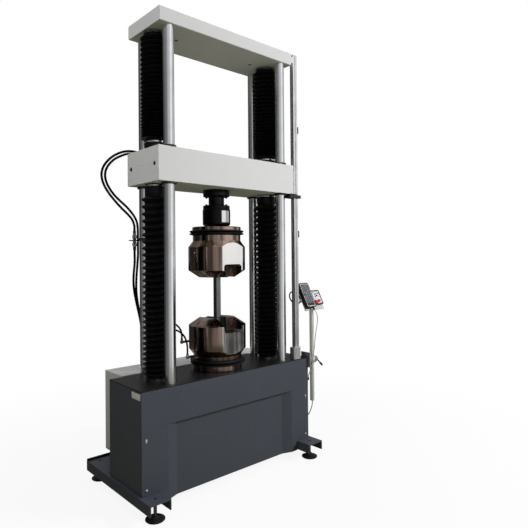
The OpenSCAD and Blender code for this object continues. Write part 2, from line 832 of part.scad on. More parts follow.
module ball_nuts() {
    color(steel) both_sides(column_x) translate([0, 0, head_low])
        ring(nut_r, screw_r + fit_gap, head_h);
}
module column_guides() {
    seal_h = 12;
    edge = 1;
    low = head_low - seal_h;
    high = head_high + seal_h;
    outer = guide_r - guide_flange / 2;
    inner = column_r + fit_gap;
    color(dark) at_columns() rotate_extrude() polygon([[inner, low], [guide_r - edge, low],
        [guide_r, low + edge], [guide_r, head_low], [outer, head_low], [outer, head_high],
        [guide_r, head_high], [guide_r, high - edge], [guide_r - edge, high], [inner, high]]);
}
module crosshead_collars() {
    color(dark) both_sides(column_x) {
        collar(head_high, collar_h);
        collar(head_low - under_collar_h, under_collar_h);
        for (z = [head_high, head_high + collar_h - band_h, head_low - low_collar_h])
            translate([0, 0, z]) ring(collar_r + band_t, collar_r, band_h);
    }
}

// Load string
module load_adapter() {
    fillet = 8;
    fillet_step = 15;
    color(dark) rotate_extrude() polygon(concat([[0, adapter_low], [neck_r + fillet, adapter_low]],
        [for (a = [0 : fillet_step : 90])
            [neck_r + fillet * (1 - sin(a)), adapter_low + fillet * (1 - cos(a))]],
        [for (a = [0 : fillet_step : 90])
            [neck_r + fillet * (1 - cos(a)), head_low - adapter_h - fillet * (1 - sin(a))]],
        [[adapter_r - edge_bevel, head_low - adapter_h], [adapter_r, head_low - adapter_h + edge_bevel],
        [adapter_r, head_low], [0, head_low]]));
}
module load_cell() {
    cap_h = 26;
    groove = 3;
    foot_h = 14;
    foot_r = 66;
    bevel = 12;
    top = adapter_low;
    low = plate_top;
    mid = low + foot_h / 2;
    color(dark) rotate_extrude() polygon([[0, low], [foot_r, low], [foot_r, mid], [cell_r - bevel, mid],
        [cell_r, mid + bevel], [cell_r, top - cap_h - groove], [cell_r - groove, top - cap_h],
        [cell_r - groove, top - groove], [cell_r - 2 * groove, top], [0, top]]);
}
module string_bolts() {
    circle_r = (adapter_r + neck_r + bolt_r) / 2;
    color(dark) for (z = [head_low - adapter_h - bolt_h, adapter_low])
        translate([0, 0, z]) bolt_circle(string_bolt_n, circle_r, bolt_r, bolt_h);
}

// Grips: one housing, piston and jaw shape, drawn with the mouth at zero and turned over for the lower grip
function grip_depth(neck, boot) = mouth_bevel + grip_body_h + shoulder_h + neck + boot;
function pocket_half(z) = pocket_mouth + z * jaw_slide_share;
module window_outline() {
    translate([0, window_h / 2 - window_corner])
        rounded_plate(window_w, window_h + 2 * window_corner, window_corner);
}
module grip_housing(neck) {
    shoulder_z = mouth_bevel + grip_body_h;
    neck_z = shoulder_z + shoulder_h;
    bore_top = neck_z + neck - spigot_h / 2;
    web = jaw_d / 2 + free_gap;
    difference() {
        rotate_extrude($fn = 128) polygon([[0, 0], [mouth_r, 0], [grip_r, mouth_bevel], [grip_r, shoulder_z],
            [grip_neck_r, neck_z], [grip_neck_r, neck_z + neck], [0, neck_z + neck]]);
        for (side = [0, 1]) mirror([0, side, 0]) {
            block([-grip_r, flat_y, -cut], [grip_r, grip_r + cut, neck_z]);
            translate([0, web, 0]) rotate([90, 0, 180]) linear_extrude(height = grip_r) window_outline();
        }
        translate([0, web, 0]) rotate([90, 0, 0]) linear_extrude(height = 2 * web)
            polygon([[-pocket_half(-cut), -cut], [pocket_half(-cut), -cut],
                [pocket_half(pocket_depth), pocket_depth], [-pocket_half(pocket_depth), pocket_depth]]);
        translate([0, 0, pocket_depth - cut]) cylinder(r = piston_r + fit_gap, h = neck_z + neck);
        translate([0, 0, cylinder_low])
            cylinder(r = piston_head_r + fit_gap, h = bore_top - cylinder_low);
    }
}
module grip_piston(depth, plate) {
    neck_low = jaw_h + seat_gap;
    difference() {
        union() {
            translate([0, 0, neck_low]) cylinder(r = piston_r, h = depth - neck_low);
            translate([0, 0, piston_head_low]) cylinder(r = piston_head_r, h = piston_head_h);
            translate([0, 0, depth]) rotate_extrude($fn = 128) polygon([[0, 0], [plate_r, 0],
                [plate_r, plate - edge_bevel], [plate_r - edge_bevel, plate], [0, plate]]);
            block([-tee_reach, -tee_web, tee_mid - cut], [tee_reach, tee_web, neck_low + cut]);
            block([-tee_reach, -tee_foot, tee_low], [tee_reach, tee_foot, tee_mid]);
        }
        block([-tee_reach - cut, -tee_foot - cut, 0], [tee_reach + cut, tee_foot + cut, tee_low]);
    }
}
module grip_boot(height) {
    lobe_in = 16;
    inner = piston_head_r;
    lobes = [for (k = [0 : 4]) [boot_r - (k % 2 == 0 ? lobe_in : 0), height * k / 4]];
    rotate_extrude($fn = 128) polygon(concat([[inner, 0]], lobes, [[inner, height]]));
}
module grip_jaw() {
    half = bar_w / 2 + seat_gap;
    slope_gap = seat_gap;
    difference() {
        translate([0, jaw_d / 2, 0]) rotate([90, 0, 0]) linear_extrude(height = jaw_d)
            polygon([[half + face_t, -jaw_lip], [pocket_half(-jaw_lip) - slope_gap, -jaw_lip],
                [pocket_half(jaw_h) - slope_gap, jaw_h], [half + face_t, jaw_h]]);
        block([0, -tee_web - seat_gap, tee_mid - cut], [grip_r, tee_web + seat_gap, jaw_h + cut]);
        block([0, -tee_foot - seat_gap, tee_low - seat_gap],
            [grip_r, tee_foot + seat_gap, tee_mid + seat_gap]);
    }
    block([half, -face_d / 2, -jaw_lip], [half + face_t, face_d / 2, face_h]);
    for (side = [0, 1], i = [-1, 1]) mirror([0, side, 0])
        translate([half + 2 * face_t, jaw_d / 2, jaw_screw_z + i * jaw_screw_step / 2])
        rod_y(jaw_screw_r, jaw_screw_h);
}
module in_upper_grip() {
    translate([0, 0, upper_mouth]) children();
}
module in_lower_grip() {
    translate([0, 0, lower_mouth]) mirror([0, 0, 1]) children();
}
module upper_grip_housing() {
    color(nickel) {
        in_upper_grip() grip_housing(upper_neck_h);
        translate([-grip_r - elbow_r, -elbow_knob_r, upper_mouth + mouth_bevel + grip_body_h * 3 / 4])
            rod_x(elbow_r, elbow_r * 2);
    }
}
// Elbow from the housing's skin out to the lower end of a hose
module elbow(start, radius) {
    skin = -sqrt(radius * radius - start.y * start.y);
    z = start.z - gland_h;
    translate([start.x, start.y, z]) {
        rod_x(elbow_r, skin - start.x + edge_bevel);
        sphere(r = elbow_knob_r);
        cylinder(r = elbow_r, h = gland_h);
    }
}
module lower_grip_housing() {
    color(nickel) {
        in_lower_grip() grip_housing(lower_neck_h);
        elbow(high_route[0], grip_r);
        elbow(low_route[0], grip_neck_r);
    }
}
module upper_grip_piston() {
    color(chrome) in_upper_grip() grip_piston(grip_depth(upper_neck_h, upper_boot_h), plate_h);
}
module lower_grip_piston() {
    color(chrome) in_lower_grip() grip_piston(grip_depth(lower_neck_h, lower_boot_h), foot_plate_h);
}
module upper_grip_boot() {
    color(rubber) translate([0, 0, upper_boot_low]) grip_boot(upper_boot_h);
}
module lower_grip_boot() {
    color(rubber) translate([0, 0, base_top + foot_plate_h]) grip_boot(lower_boot_h);
}
module upper_left_jaw() {
    color(steel) in_upper_grip() mirror([1, 0, 0]) grip_jaw();
}
module upper_right_jaw() {
    color(steel) in_upper_grip() grip_jaw();
}
module lower_left_jaw() {
    color(steel) in_lower_grip() mirror([1, 0, 0]) grip_jaw();
}
module lower_right_jaw() {
    color(steel) in_lower_grip() grip_jaw();
}
module test_bar() {
    reach = face_h + edge_bevel;
    color(steel) block([-bar_w / 2, -bar_w / 2, lower_mouth - reach],
        [bar_w / 2, bar_w / 2, upper_mouth + reach]);
}

// Electronics cabinet behind the base
cabinet_front = base_d / 2 + cabinet_gap;
module drive_cabinet() {
    vent_w = 60;
    vent_h = 5;
    vent_step = 14;
    vent_n = 15;
    vent_depth = 12;
    door_gap = 2;
    door_in = 20;
    low = [-cabinet_w / 2, cabinet_front, cabinet_low];
    high = [cabinet_w / 2, cabinet_front + cabinet_d, cabinet_top];
    color(pale) difference() {
        block(low, high);
        for (side = [-1, 1], i = [0 : vent_n - 1])
            translate([side * cabinet_w / 2 - vent_depth, low.y + door_in, low.z + vent_step * (i + 2)])
            cube([2 * vent_depth, vent_w, vent_h]);
        translate([0, high.y - door_gap, 0]) difference() {
            block([low.x + door_in, 0, low.z + door_in], [high.x - door_in, vent_depth, high.z - door_in]);
            block([low.x + door_in + door_gap, -cut, low.z + door_in + door_gap],
                [high.x - door_in - door_gap, vent_depth + cut, high.z - door_in - door_gap]);
        }
    }
}
module platform_rubbers() {
    foot_w = 60;
    strip_w = 16;
    strip_h = 14;
    color(rubber) {
        for (x = [-1, 1], y = [cabinet_front, cabinet_front + cabinet_d - foot_w])
            translate([x * (cabinet_w - skid_w) / 2 - foot_w / 2, y, base_low])
            cube([foot_w, foot_w, cabinet_low - base_low]);
        block([-skid_x - skid_w / 2, skid_rear - strip_w, base_low],
            [skid_x + skid_w / 2, skid_rear, base_low + strip_h]);
    }
}

// Limit rail, its mounts, the arm and the stops
module rail_profile() {
    difference() {
        square([rail_w, rail_d], center = true);
        for (side = [-1, 1]) {
            translate([side * (rail_w / 2 - groove_d / 2 + cut / 2), 0])
                square([groove_d + cut, groove_mouth], center = true);
            translate([side * (rail_w / 2 - groove_lip - (groove_d - groove_lip) / 2), 0])
                square([groove_d - groove_lip, groove_w], center = true);
            translate([0, side * (rail_d / 2 - groove_d / 2 + cut / 2)])
                square([groove_mouth, groove_d + cut], center = true);
            translate([0, side * (rail_d / 2 - groove_lip - (groove_d - groove_lip) / 2)])
                square([groove_w, groove_d - groove_lip], center = true);
        }
        circle(r = groove_mouth / 2);
    }
}
module guide_rail() {
    low = base_top + block_h;
    color(alloy) translate([rail_x, -rail_y, low]) linear_extrude(height = top_high - low) rail_profile();
}
module base_clamps() {
    slit = 3;
    color(alloy) {
        translate([rail_x, -rail_y, base_top]) difference() {
            linear_extrude(height = block_h) polygon([[-block_w / 2, -block_d / 2 + block_bevel],
                [block_bevel - block_w / 2, -block_d / 2], [block_w / 2 - block_bevel, -block_d / 2],
                [block_w / 2, block_bevel - block_d / 2], [block_w / 2, block_d / 2],
                [-block_w / 2, block_d / 2]]);
            block([-block_w, -slit / 2, block_h / 3], [-rail_w / 2, slit / 2, block_h + cut]);
            for (z = [block_h / 2, block_h * 4 / 5])
                translate([-block_w / 3, -block_d, z]) rod_y(bolt_r / 2, block_d);
        }
        block([top_w / 2, -rail_y - rail_d / 2, top_low + top_h / 4],
            [rail_x - rail_w / 2, rail_d / 2 - rail_y, top_high - top_h / 4]);
        block([base_w / 2, -pole_y - clamp_plate_w / 4, clamp_z - clamp_plate_h / 2],
            [base_w / 2 + clamp_plate_t, clamp_plate_w * 3 / 4 - pole_y, clamp_z + clamp_plate_h / 2]);
        difference() {
            union() {
                translate([pole_x, -pole_y, clamp_z - clamp_h / 2])
                    cylinder(r = pole_r + clamp_wall, h = clamp_h);
                block([base_w / 2 + clamp_plate_t, -pole_y - clamp_wall, clamp_z - clamp_h / 2],
                    [pole_x, clamp_wall - pole_y, clamp_z + clamp_h / 2]);
                block([pole_x, -pole_y - ear_w, clamp_z - clamp_h / 2],
                    [pole_x + pole_r + ear_l, ear_w - pole_y, clamp_z + clamp_h / 2]);
            }
            translate([pole_x, -pole_y, clamp_z - clamp_h])
                cylinder(r = pole_r + fit_gap, h = 2 * clamp_h);
            block([pole_x, -pole_y - slit / 2, clamp_z - clamp_h],
                [pole_x + pole_r + 2 * ear_l, slit / 2 - pole_y, clamp_z + clamp_h]);
        }
    }
}
module rail_arm() {
    reach_x = rail_w / 2 + arm_gap + arm_ring;
    reach_y = rail_d / 2 + arm_gap + arm_ring;
    color(dark) difference() {
        union() {
            block([arm_start, -rail_y - rail_d / 2 - arm_ring, head_low - arm_t],
                [rail_x, rail_d / 2 + arm_ring - rail_y, head_low]);
            block([rail_x - reach_x, -rail_y - reach_y, head_low - arm_t],
                [rail_x + reach_x, reach_y - rail_y, head_low - arm_t / 4]);
        }
        block([rail_x - rail_w / 2 - arm_gap, -rail_y - rail_d / 2 - arm_gap, head_low - 2 * arm_t],
            [rail_x + rail_w / 2 + arm_gap, rail_d / 2 + arm_gap - rail_y, head_low + cut]);
    }
}
module rail_stop(z) {
    face_x = rail_x + rail_w / 2;
    color(dark) translate([face_x + free_gap, -rail_y, z]) {
        block([0, -rail_d / 2, -stop_h / 2], [stop_w, rail_d / 2, stop_h / 2]);
        block([-groove_lip, free_gap - groove_mouth / 2, -stop_h / 2],
            [0, groove_mouth / 2 - free_gap, stop_h / 2]);
        translate([stop_w, 0, 0]) rod_x(groove_w, edge_bevel);
        translate([stop_w + edge_bevel, 0, 0]) rod_x(stop_knob_r, stop_knob_h);
    }
}
module upper_stop() {
    rail_stop(upper_stop_z);
}
module lower_stop() {
    rail_stop(lower_stop_z);
}

// Operator pole, handset and control box
module operator_head() {
    translate([pole_x, -pole_y, pole_top + head_drop]) rotate([-head_lean, 0, 0]) children();
}
module operator_pole() {
    color(pale) {
        translate([pole_x, -pole_y, pole_low])
            ring(pole_r, pole_r - pole_wall, pole_top - pole_low);
        translate([pole_x, -pole_y, pole_low]) cylinder(r = pole_r - pole_wall / 2, h = pole_wall);
        translate([pole_x, -pole_y, pole_top]) cylinder(r = pole_r, h = head_drop);
        operator_head() {
            block([-holder_left, 0, -head_drop / 2], [holder_right, holder_t, holder_l]);
            translate([ring_x, ring_back, ring_z]) {
                rotate([90, 0, 0]) rotate_extrude() translate([ring_r, 0]) circle(r = ring_bar_r, $fn = 24);
                for (d = [[0, -ring_r], [ring_r, 0]])
                    translate([d.x, holder_t - ring_back, d.y]) rod_y(ring_bar_r, ring_back - holder_t);
            }
        }
    }
}
module clamp_lever() {
    start = pole_x + pole_r + ear_l + seat_gap;
    color(steel) translate([start, -pole_y, clamp_z]) {
        rod_x(lever_hub_r, lever_hub_l);
        translate([lever_hub_l / 2, 0, 0]) rotate([0, 90 + lever_angle, 0]) {
            cylinder(r = lever_r, h = lever_l);
            translate([0, 0, lever_l]) cylinder(r = lever_knob_r, h = lever_knob_l);
        }
    }
}
module handset() {
    r = 12;
    frame_t = 3;
    lens_in = 12;
    middle = [handset_w / 2 - handset_left, -seat_gap, handset_low + handset_l / 2];
    color(dark) operator_head() translate(middle) rotate([90, 0, 0]) {
        difference() {
            linear_extrude(height = handset_t) rounded_plate(handset_w, handset_l, r);
            translate([0, 0, handset_t - frame_t]) linear_extrude(height = handset_t)
                rounded_plate(handset_w - 2 * lens_in, handset_l - 2 * lens_in, r);
        }
        translate([0, screen_z - handset_l / 2 + screen_l / 2, handset_t - frame_t])
            linear_extrude(height = screen_t) rounded_plate(screen_w, screen_l, frame_t);
        for (i = [-1 : 1], j = [0 : key_n - 1])
            translate([i * key_step, key_low + j * key_step - handset_l / 2, handset_t - frame_t])
            linear_extrude(height = frame_t) rounded_plate(key_w, key_h, frame_t);
    }
}
module control_box() {
    r = 8;
    face_in = 8;
    middle = [box_left + box_w / 2, box_low + box_l / 2];
    color(dark) operator_head() translate([0, -seat_gap, 0]) rotate([90, 0, 0]) {
        difference() {
            translate(middle) linear_extrude(height = box_t) rounded_plate(box_w, box_l, r);
            translate([middle.x, middle.y, box_t - face_drop]) linear_extrude(height = box_t)
                rounded_plate(box_w - 2 * face_in, box_l - 2 * face_in, r);
            translate([estop_x, estop_z, box_t - face_drop - estop_stem_h])
                cylinder(r = estop_stem_r + fit_gap, h = box_t);
        }
        translate([knob_x, knob_z, box_t - face_drop]) cylinder(r = knob_r, h = knob_h);
    }
}
module estop_button() {
    low = box_t - face_drop - estop_stem_h / 2;
    cap = box_t - face_drop + estop_stem_h;
    color(red) operator_head() translate([estop_x, -seat_gap, estop_z]) rotate([90, 0, 0])
        rotate_extrude() polygon([[0, low], [estop_stem_r, low], [estop_stem_r, cap], [estop_r, cap],
            [estop_r, cap + estop_h / 2], [estop_r * 2 / 3, cap + estop_h], [0, cap + estop_h]]);
}

// Hoses, cables and their fittings
module outer_hose() {
    color(rubber) tube(outer_route, hose_d, hose_sides);
}
module inner_hose() {
    color(rubber) tube(inner_route, hose_d, hose_sides);
}
module grip_hose_high() {
    color(rubber) tube(high_route, grip_hose_d, hose_sides);
}
module grip_hose_low() {
    color(rubber) tube(low_route, grip_hose_d, hose_sides);
}
module handset_cable() {
    color(steel) tube(handset_route, cable_d, cable_sides);
}
module pole_cable() {
    color(dark) tube(pole_route, cable_d, cable_sides);
}
module hose_fittings() {
    plate_t = 6;
    clipped = [outer_route[clip_point], inner_route[inner_clip_point]];
    bracket_z = clipped[0].z;
    bracket_w = 70;
    bracket_d = 85;
    bracket_ring = 4;
    sleeve_wall = 2.5;
    sleeve_h = 60;
    nut_wall = 5.5;
    nut_gap = 10;
    nut_h = 22;
    color(steel) {
        translate([-column_x, column_y, bracket_z]) difference() {
            union() {
                cylinder(r = column_r + bracket_ring, h = 3 * plate_t);
                block([-bracket_w, 0, 0], [0, bracket_d, plate_t]);
            }
            translate([0, 0, -cut]) cylinder(r = column_r + fit_gap, h = 4 * plate_t);
            for (p = clipped) translate([p.x + column_x, p.y - column_y, -cut])
                cylinder(r = hose_d / 2 + free_gap, h = 2 * plate_t);
        }
        translate([clipped[0].x, clipped[0].y, bracket_z]) {
            for (z = [plate_t, -sleeve_h])
                translate([0, 0, z]) ring(hose_d / 2 + sleeve_wall, hose_d / 2 + free_gap, sleeve_h);
            for (z = [plate_t + nut_gap, -nut_gap - nut_h])
                translate([0, 0, z]) ring(hose_d / 2 + nut_wall, hose_d / 2 + free_gap, nut_h);
        }
        for (p = [outer_route[len(outer_route) - 1], inner_route[len(inner_route) - 1]])
            translate([p.x, p.y, cabinet_top]) cylinder(r = gland_r, h = p.z - cabinet_top);
        for (p = [high_route[len(high_route) - 1], low_route[len(low_route) - 1]])
            translate([p.x, p.y, base_top]) cylinder(r = gland_r, h = p.z - base_top);
        pole_end = pole_route[len(pole_route) - 1];
        translate([base_w / 2, pole_end.y, pole_end.z]) rod_x(cable_d, pole_end.x - base_w / 2);
        cable_end = handset_route[len(handset_route) - 1];
        translate([cable_end.x, cable_end.y, cable_end.z - cable_gland_h]) {
            translate([base_w / 2 - cable_end.x, 0, 0]) rod_x(cable_d, cable_end.x - base_w / 2);
            sphere(r = cable_d);
            cylinder(r = cable_d, h = cable_gland_h);
        }
    }
}

skid_frame();
foot_pads();
foot_bolts();
base_frame();
tread_plate();
upper_front_panel();
lower_front_panel();
side_panels();
rear_panel();
panel_screws();
guide_columns();
top_beam();
screw_bearings();
servo_motor();
drive_belts();
upper_bellows();
lower_bellows();
bellows_bands();
drive_cabinet();
platform_rubbers();
guide_rail();
base_clamps();
lower_grip_piston();
lower_grip_boot();
test_bar();
hose_fittings();
outer_hose();
inner_hose();
grip_hose_high();
grip_hose_low();
pole_cable();
crosshead_beam();
crosshead_covers();
crosshead_glands();
ball_nuts();
column_guides();
crosshead_collars();
load_adapter();
load_cell();
string_bolts();
upper_grip_piston();
upper_grip_boot();
rail_arm();
left_ball_screw();
right_ball_screw();
motor_pulley();
upper_grip_housing();
lower_grip_housing();
upper_left_jaw();
upper_right_jaw();
lower_left_jaw();
lower_right_jaw();
operator_pole();
clamp_lever();
handset();
control_box();
estop_button();
handset_cable();
upper_stop();
lower_stop();
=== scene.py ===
# %% [markdown]
# # Dressing a universal testing machine
# The machine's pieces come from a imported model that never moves. This script gives each of them its finish,
# and builds the soft and fine pieces that plain solids can't show. Lengths are in metres, Z points up, and
# the origin lies on the floor under the load axis.

# %% Load the frame
import bmesh
import bpy
import json
import math
from mathutils import Matrix, Vector


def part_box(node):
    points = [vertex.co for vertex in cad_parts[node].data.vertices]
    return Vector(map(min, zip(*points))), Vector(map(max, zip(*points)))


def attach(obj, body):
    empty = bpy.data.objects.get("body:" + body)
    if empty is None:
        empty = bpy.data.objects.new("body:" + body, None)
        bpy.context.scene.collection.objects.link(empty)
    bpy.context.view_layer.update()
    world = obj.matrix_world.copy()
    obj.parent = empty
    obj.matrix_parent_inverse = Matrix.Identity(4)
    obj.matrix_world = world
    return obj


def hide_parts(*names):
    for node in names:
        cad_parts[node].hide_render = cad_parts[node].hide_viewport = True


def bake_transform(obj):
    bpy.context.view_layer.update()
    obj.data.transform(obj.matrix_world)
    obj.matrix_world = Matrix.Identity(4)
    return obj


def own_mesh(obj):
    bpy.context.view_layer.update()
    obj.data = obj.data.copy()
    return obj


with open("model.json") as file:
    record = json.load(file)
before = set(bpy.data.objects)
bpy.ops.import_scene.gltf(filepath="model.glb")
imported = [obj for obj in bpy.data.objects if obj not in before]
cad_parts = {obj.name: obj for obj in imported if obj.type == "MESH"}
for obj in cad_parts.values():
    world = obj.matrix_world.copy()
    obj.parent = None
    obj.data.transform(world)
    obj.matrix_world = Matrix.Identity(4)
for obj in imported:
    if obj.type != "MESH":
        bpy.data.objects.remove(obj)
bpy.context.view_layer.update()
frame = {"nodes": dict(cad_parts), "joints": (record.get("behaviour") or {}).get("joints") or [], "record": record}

# %% [markdown]
# ## Camera
# The photograph was taken a little left of the machine, at chest height and almost level. A level camera
# keeps the columns upright, and the small lens shift puts the machine where the photograph has it.

# %% Camera at the photograph's place
photo_px = 528
focal_px = 498.71
centre_px = (257.117, 251.006)
camera_at = Vector((-2.0690, -2.7250, 1.4772))
yaw, pitch, roll = (math.radians(a) for a in (41.8366, 0.3794, -0.4820))

forward = Vector((math.sin(yaw) * math.cos(pitch), math.cos(yaw) * math.cos(pitch), math.sin(pitch)))
level_right = Vector((math.cos(yaw), -math.sin(yaw), 0))
level_up = level_right.cross(forward)
right = level_right * math.cos(roll) + level_up * math.sin(roll)
up = level_up * math.cos(roll) - level_right * math.sin(roll)

lens = bpy.data.cameras.new("photo_camera")
lens.sensor_width = 36
lens.lens = lens.sensor_width * focal_px / photo_px
lens.shift_x = (photo_px / 2 - centre_px[0]) / photo_px
lens.shift_y = (centre_px[1] - photo_px / 2) / photo_px
lens.clip_end = 200
camera = bpy.data.objects.new("photo_camera", lens)
camera.matrix_world = Matrix.Translation(camera_at) @ Matrix((right, up, -forward)).transposed().to_4x4()
bpy.context.scene.collection.objects.link(camera)
bpy.context.scene.camera = camera
bpy.context.scene.view_settings.view_transform = "Standard"
print("camera: lens", round(lens.lens, 2), "mm, shift", round(lens.shift_x, 4), round(lens.shift_y, 4))

# %% [markdown]
# ## A small language for materials
# A material is a graph of nodes. Writing it as sums keeps it readable, so a Wire wraps one socket and
# overloads the operators: 1 - mask adds a Math node. A Paint holds one material and adds any other node.


# %% Wires and paints
class Wire:
    """A number on its way through a material."""

    def __init__(self, paint, socket):
        self.paint = paint
        self.socket = socket

    def __add__(self, other):
        return self.paint.math("ADD", self, other)

    def __radd__(self, other):
        return self.paint.math("ADD", other, self)

    def __sub__(self, other):
        return self.paint.math("SUBTRACT", self, other)

    def __rsub__(self, other):
        return self.paint.math("SUBTRACT", other, self)

    def __mul__(self, other):
        return self.paint.math("MULTIPLY", self, other)

    def __rmul__(self, other):
        return self.paint.math("MULTIPLY", other, self)

    def __truediv__(self, other):
        return self.paint.math("DIVIDE", self, other)

    def ramp(self, low, high):
        """0 below low, 1 above high, smooth between."""
        return self.paint.node("ShaderNodeMapRange", {"interpolation_type": "SMOOTHSTEP"}, [self, low, high])


class Paint:
    """One material, with the nodes that its finish needs."""

    def __init__(self, name):
        self.material = bpy.data.materials.new(name)
        self.material.use_nodes = True
        self.tree = self.material.node_tree
        self.shader = self.tree.nodes["Principled BSDF"]
        self.where = self.node("ShaderNodeTexCoord", out="Object")

    def node(self, kind, settings=None, inputs=(), out=0):
        made = self.tree.nodes.new(kind)
        for key, value in (settings or {}).items():
            setattr(made, key, value)
        pairs = inputs.items() if isinstance(inputs, dict) else enumerate(inputs)
        for key, value in pairs:
            if isinstance(value, Wire):
                self.tree.links.new(value.socket, made.inputs[key])
            else:
                made.inputs[key].default_value = value
        return Wire(self, made.outputs[out])

    def math(self, operation, *values):
        return self.node("ShaderNodeMath", {"operation": operation}, values)

    def noise(self, scale, detail=3.0, stretch=(1, 1, 1)):
        """Cloudy noise from 0 to 1, with scale in features a metre along each axis."""
        spread = self.node("ShaderNodeMapping", {}, {"Vector": self.where, "Scale": stretch})
        return self.node("ShaderNodeTexNoise", {}, {"Vector": spread, "Scale": scale, "Detail": detail})

    def axis(self, name, vector=None):
        """X, Y or Z of a vector, or else of the place on the object."""
        return self.node("ShaderNodeSeparateXYZ", {}, [vector or self.where], out=name)

    def mix(self, share, one, two):
        """A colour between one and two."""
        made = self.node("ShaderNodeMix", {"data_type": "RGBA"}, {0: share}, out=2)
        mixer = made.socket.node
        for index, colour in ((6, one), (7, two)):
            if isinstance(colour, Wire):
                self.tree.links.new(colour.socket, mixer.inputs[index])
            else:
                mixer.inputs[index].default_value = (*colour, 1)
        return made

    def bump(self, height, depth):
        """A surface lifted by height times depth, in metres."""
        return self.node("ShaderNodeBump", {}, {"Height": height, "Distance": depth, "Strength": 1.0}, out="Normal")

    def put(self, **sockets):
        """Sets or links sockets of the shader, named with underscores for spaces."""
        for name, value in sockets.items():
            socket = self.shader.inputs[name.replace("_", " ")]
            if isinstance(value, Wire):
                self.tree.links.new(value.socket, socket)
            elif name == "Base_Color":
                socket.default_value = (*value, 1)
            else:
                socket.default_value = value
        return self.material


def shade(colour, factor):
    """A colour made darker or lighter."""
    return tuple(min(1.0, part * factor) for part in colour)


tone = {entry["slot"]: tuple(entry["base_color"]) for entry in frame["record"]["materials"]}
tone["slate_paint"] = tuple(part * cast for part, cast in zip(tone["slate_paint"], (0.92, 0.95, 1.12)))
paints = {}
print("slots:", ", ".join(sorted(tone)))

# %% [markdown]
# ## Powder coat
# The sheet metal is powder coated. Such a coat is an even colour with a very fine skin, like orange peel,
# and it scatters light softly. A millimetre noise lifts the skin, and a slow one changes the gloss a little.


# %% Powder coat
def powder(slot, rough, peel, depth, drift=0.06):
    paint = Paint(slot)
    slow = paint.noise(2.5, 4)
    fine = paint.noise(peel, 2)
    dust = paint.noise(14, 6).ramp(0.56, 0.78)
    colour = paint.mix(slow, shade(tone[slot], 1 - drift), shade(tone[slot], 1 + drift))
    dusty = paint.mix(dust * 0.02, colour, (0.42, 0.42, 0.41))
    paints[slot] = paint.put(Base_Color=dusty, Roughness=rough + slow * 0.06 + dust * 0.02 - 0.03,
        Normal=paint.bump(fine, depth), Specular_IOR_Level=0.45)


powder("slate_paint", 0.46, 700, 0.00010)
powder("pale_paint", 0.42, 600, 0.00005, 0.015)
powder("cabinet_paint", 0.48, 500, 0.00006, 0.02)
powder("black_paint", 0.38, 500, 0.00004)
print("powder coats:", [name for name in paints])

# %% [markdown]
# ## Metals
# Chromed columns are ground round and polished, so their gloss varies in fine rings. The grips are turned
# and nickel plated, with a warm brown cast and painted reflection in dark streaks. Black oxide keeps the metal's gloss
# under a dark skin.
# Steel and oxide are drawn darker than the frame's own tones, and aluminium lighter, as the photograph has them.


# %% Metals
def metal(slot, rough, stretch, lines, smear, depth=0.0, tint=None):
    paint = Paint(slot)
    grain = paint.noise(lines, 3, stretch)
    cloud = paint.noise(9, 5).ramp(0.35, 0.70)
    colour = paint.mix(cloud, tone[slot], tint or shade(tone[slot], 0.90))
    extra = {"Normal": paint.bump(grain, depth)} if depth else {}
    paints[slot] = paint.put(Base_Color=colour, Metallic=1.0,
        Roughness=rough + grain * smear + cloud * smear - smear * 0.75, **extra)


metal("chrome", 0.13, (1, 1, 90), 9, 0.07)
tone["steel"] = shade(tone["steel"], 0.42)
metal("steel", 0.30, (1, 1, 40), 14, 0.16, 0.00002)
metal("jaw_steel", 0.38, (1, 1, 30), 20, 0.18, 0.00003)
tone["black_oxide"] = shade(tone["black_oxide"], 0.6)
metal("black_oxide", 0.26, (1, 1, 60), 12, 0.10, tint=(0.017, 0.015, 0.014))
tone["aluminium"] = shade(tone["aluminium"], 1.45)
metal("aluminium", 0.34, (60, 60, 1), 10, 0.12, 0.00002)


grip_flat_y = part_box("upper_grip_housing")[1].y


def plated(slot):
    """Bronze-brown plate with painted reflection in dark streaks down the housing, and bright ground flats."""
    paint = Paint(slot)
    reflection_streak = paint.noise(34, 3, (1, 1, 0.04)).ramp(0.40, 0.66)
    cloud = paint.noise(6, 5).ramp(0.35, 0.75)
    # Painted reflection: the near-black colour laid in vertical streaks stands for dark surroundings mirrored in the
    # turned housing.
    colour = paint.mix(reflection_streak * 0.75, (0.40, 0.29, 0.24), (0.075, 0.045, 0.036))
    worn = paint.mix(cloud * 0.35, colour, (0.24, 0.20, 0.18))
    depth = paint.math("ABSOLUTE", paint.axis("Y"))
    ground = paint.mix(depth.ramp(grip_flat_y - 0.003, grip_flat_y - 0.001), worn, (0.88, 0.86, 0.84))
    paints[slot] = paint.put(Base_Color=ground, Metallic=1.0, Roughness=0.11 + reflection_streak * 0.05 + cloud * 0.06)


plated("nickel_steel")
print("metals: chrome, steel, nickel_steel, jaw_steel, black_oxide, aluminium")

# %% [markdown]
# ## Rubber and plastic
# Rubber is black but never clean: dust lies on it in soft clouds, and its gloss follows them. Moulded
# plastic has a fine spark-eroded grain, and the red button is smooth.


# %% Rubber and plastic
def moulded(slot, rough, grain, depth, dust=0.05, shine=0.5):
    paint = Paint(slot)
    cloud = paint.noise(11, 6).ramp(0.45, 0.80)
    skin = paint.noise(grain, 2)
    base = shade(tone[slot], 0.3) if "rubber" in slot else tone[slot]
    colour = paint.mix(cloud * dust, base, (0.30, 0.29, 0.27))
    paints[slot] = paint.put(Base_Color=colour, Roughness=rough + cloud * 0.12 + skin * 0.04,
        Normal=paint.bump(skin, depth), Specular_IOR_Level=shine)


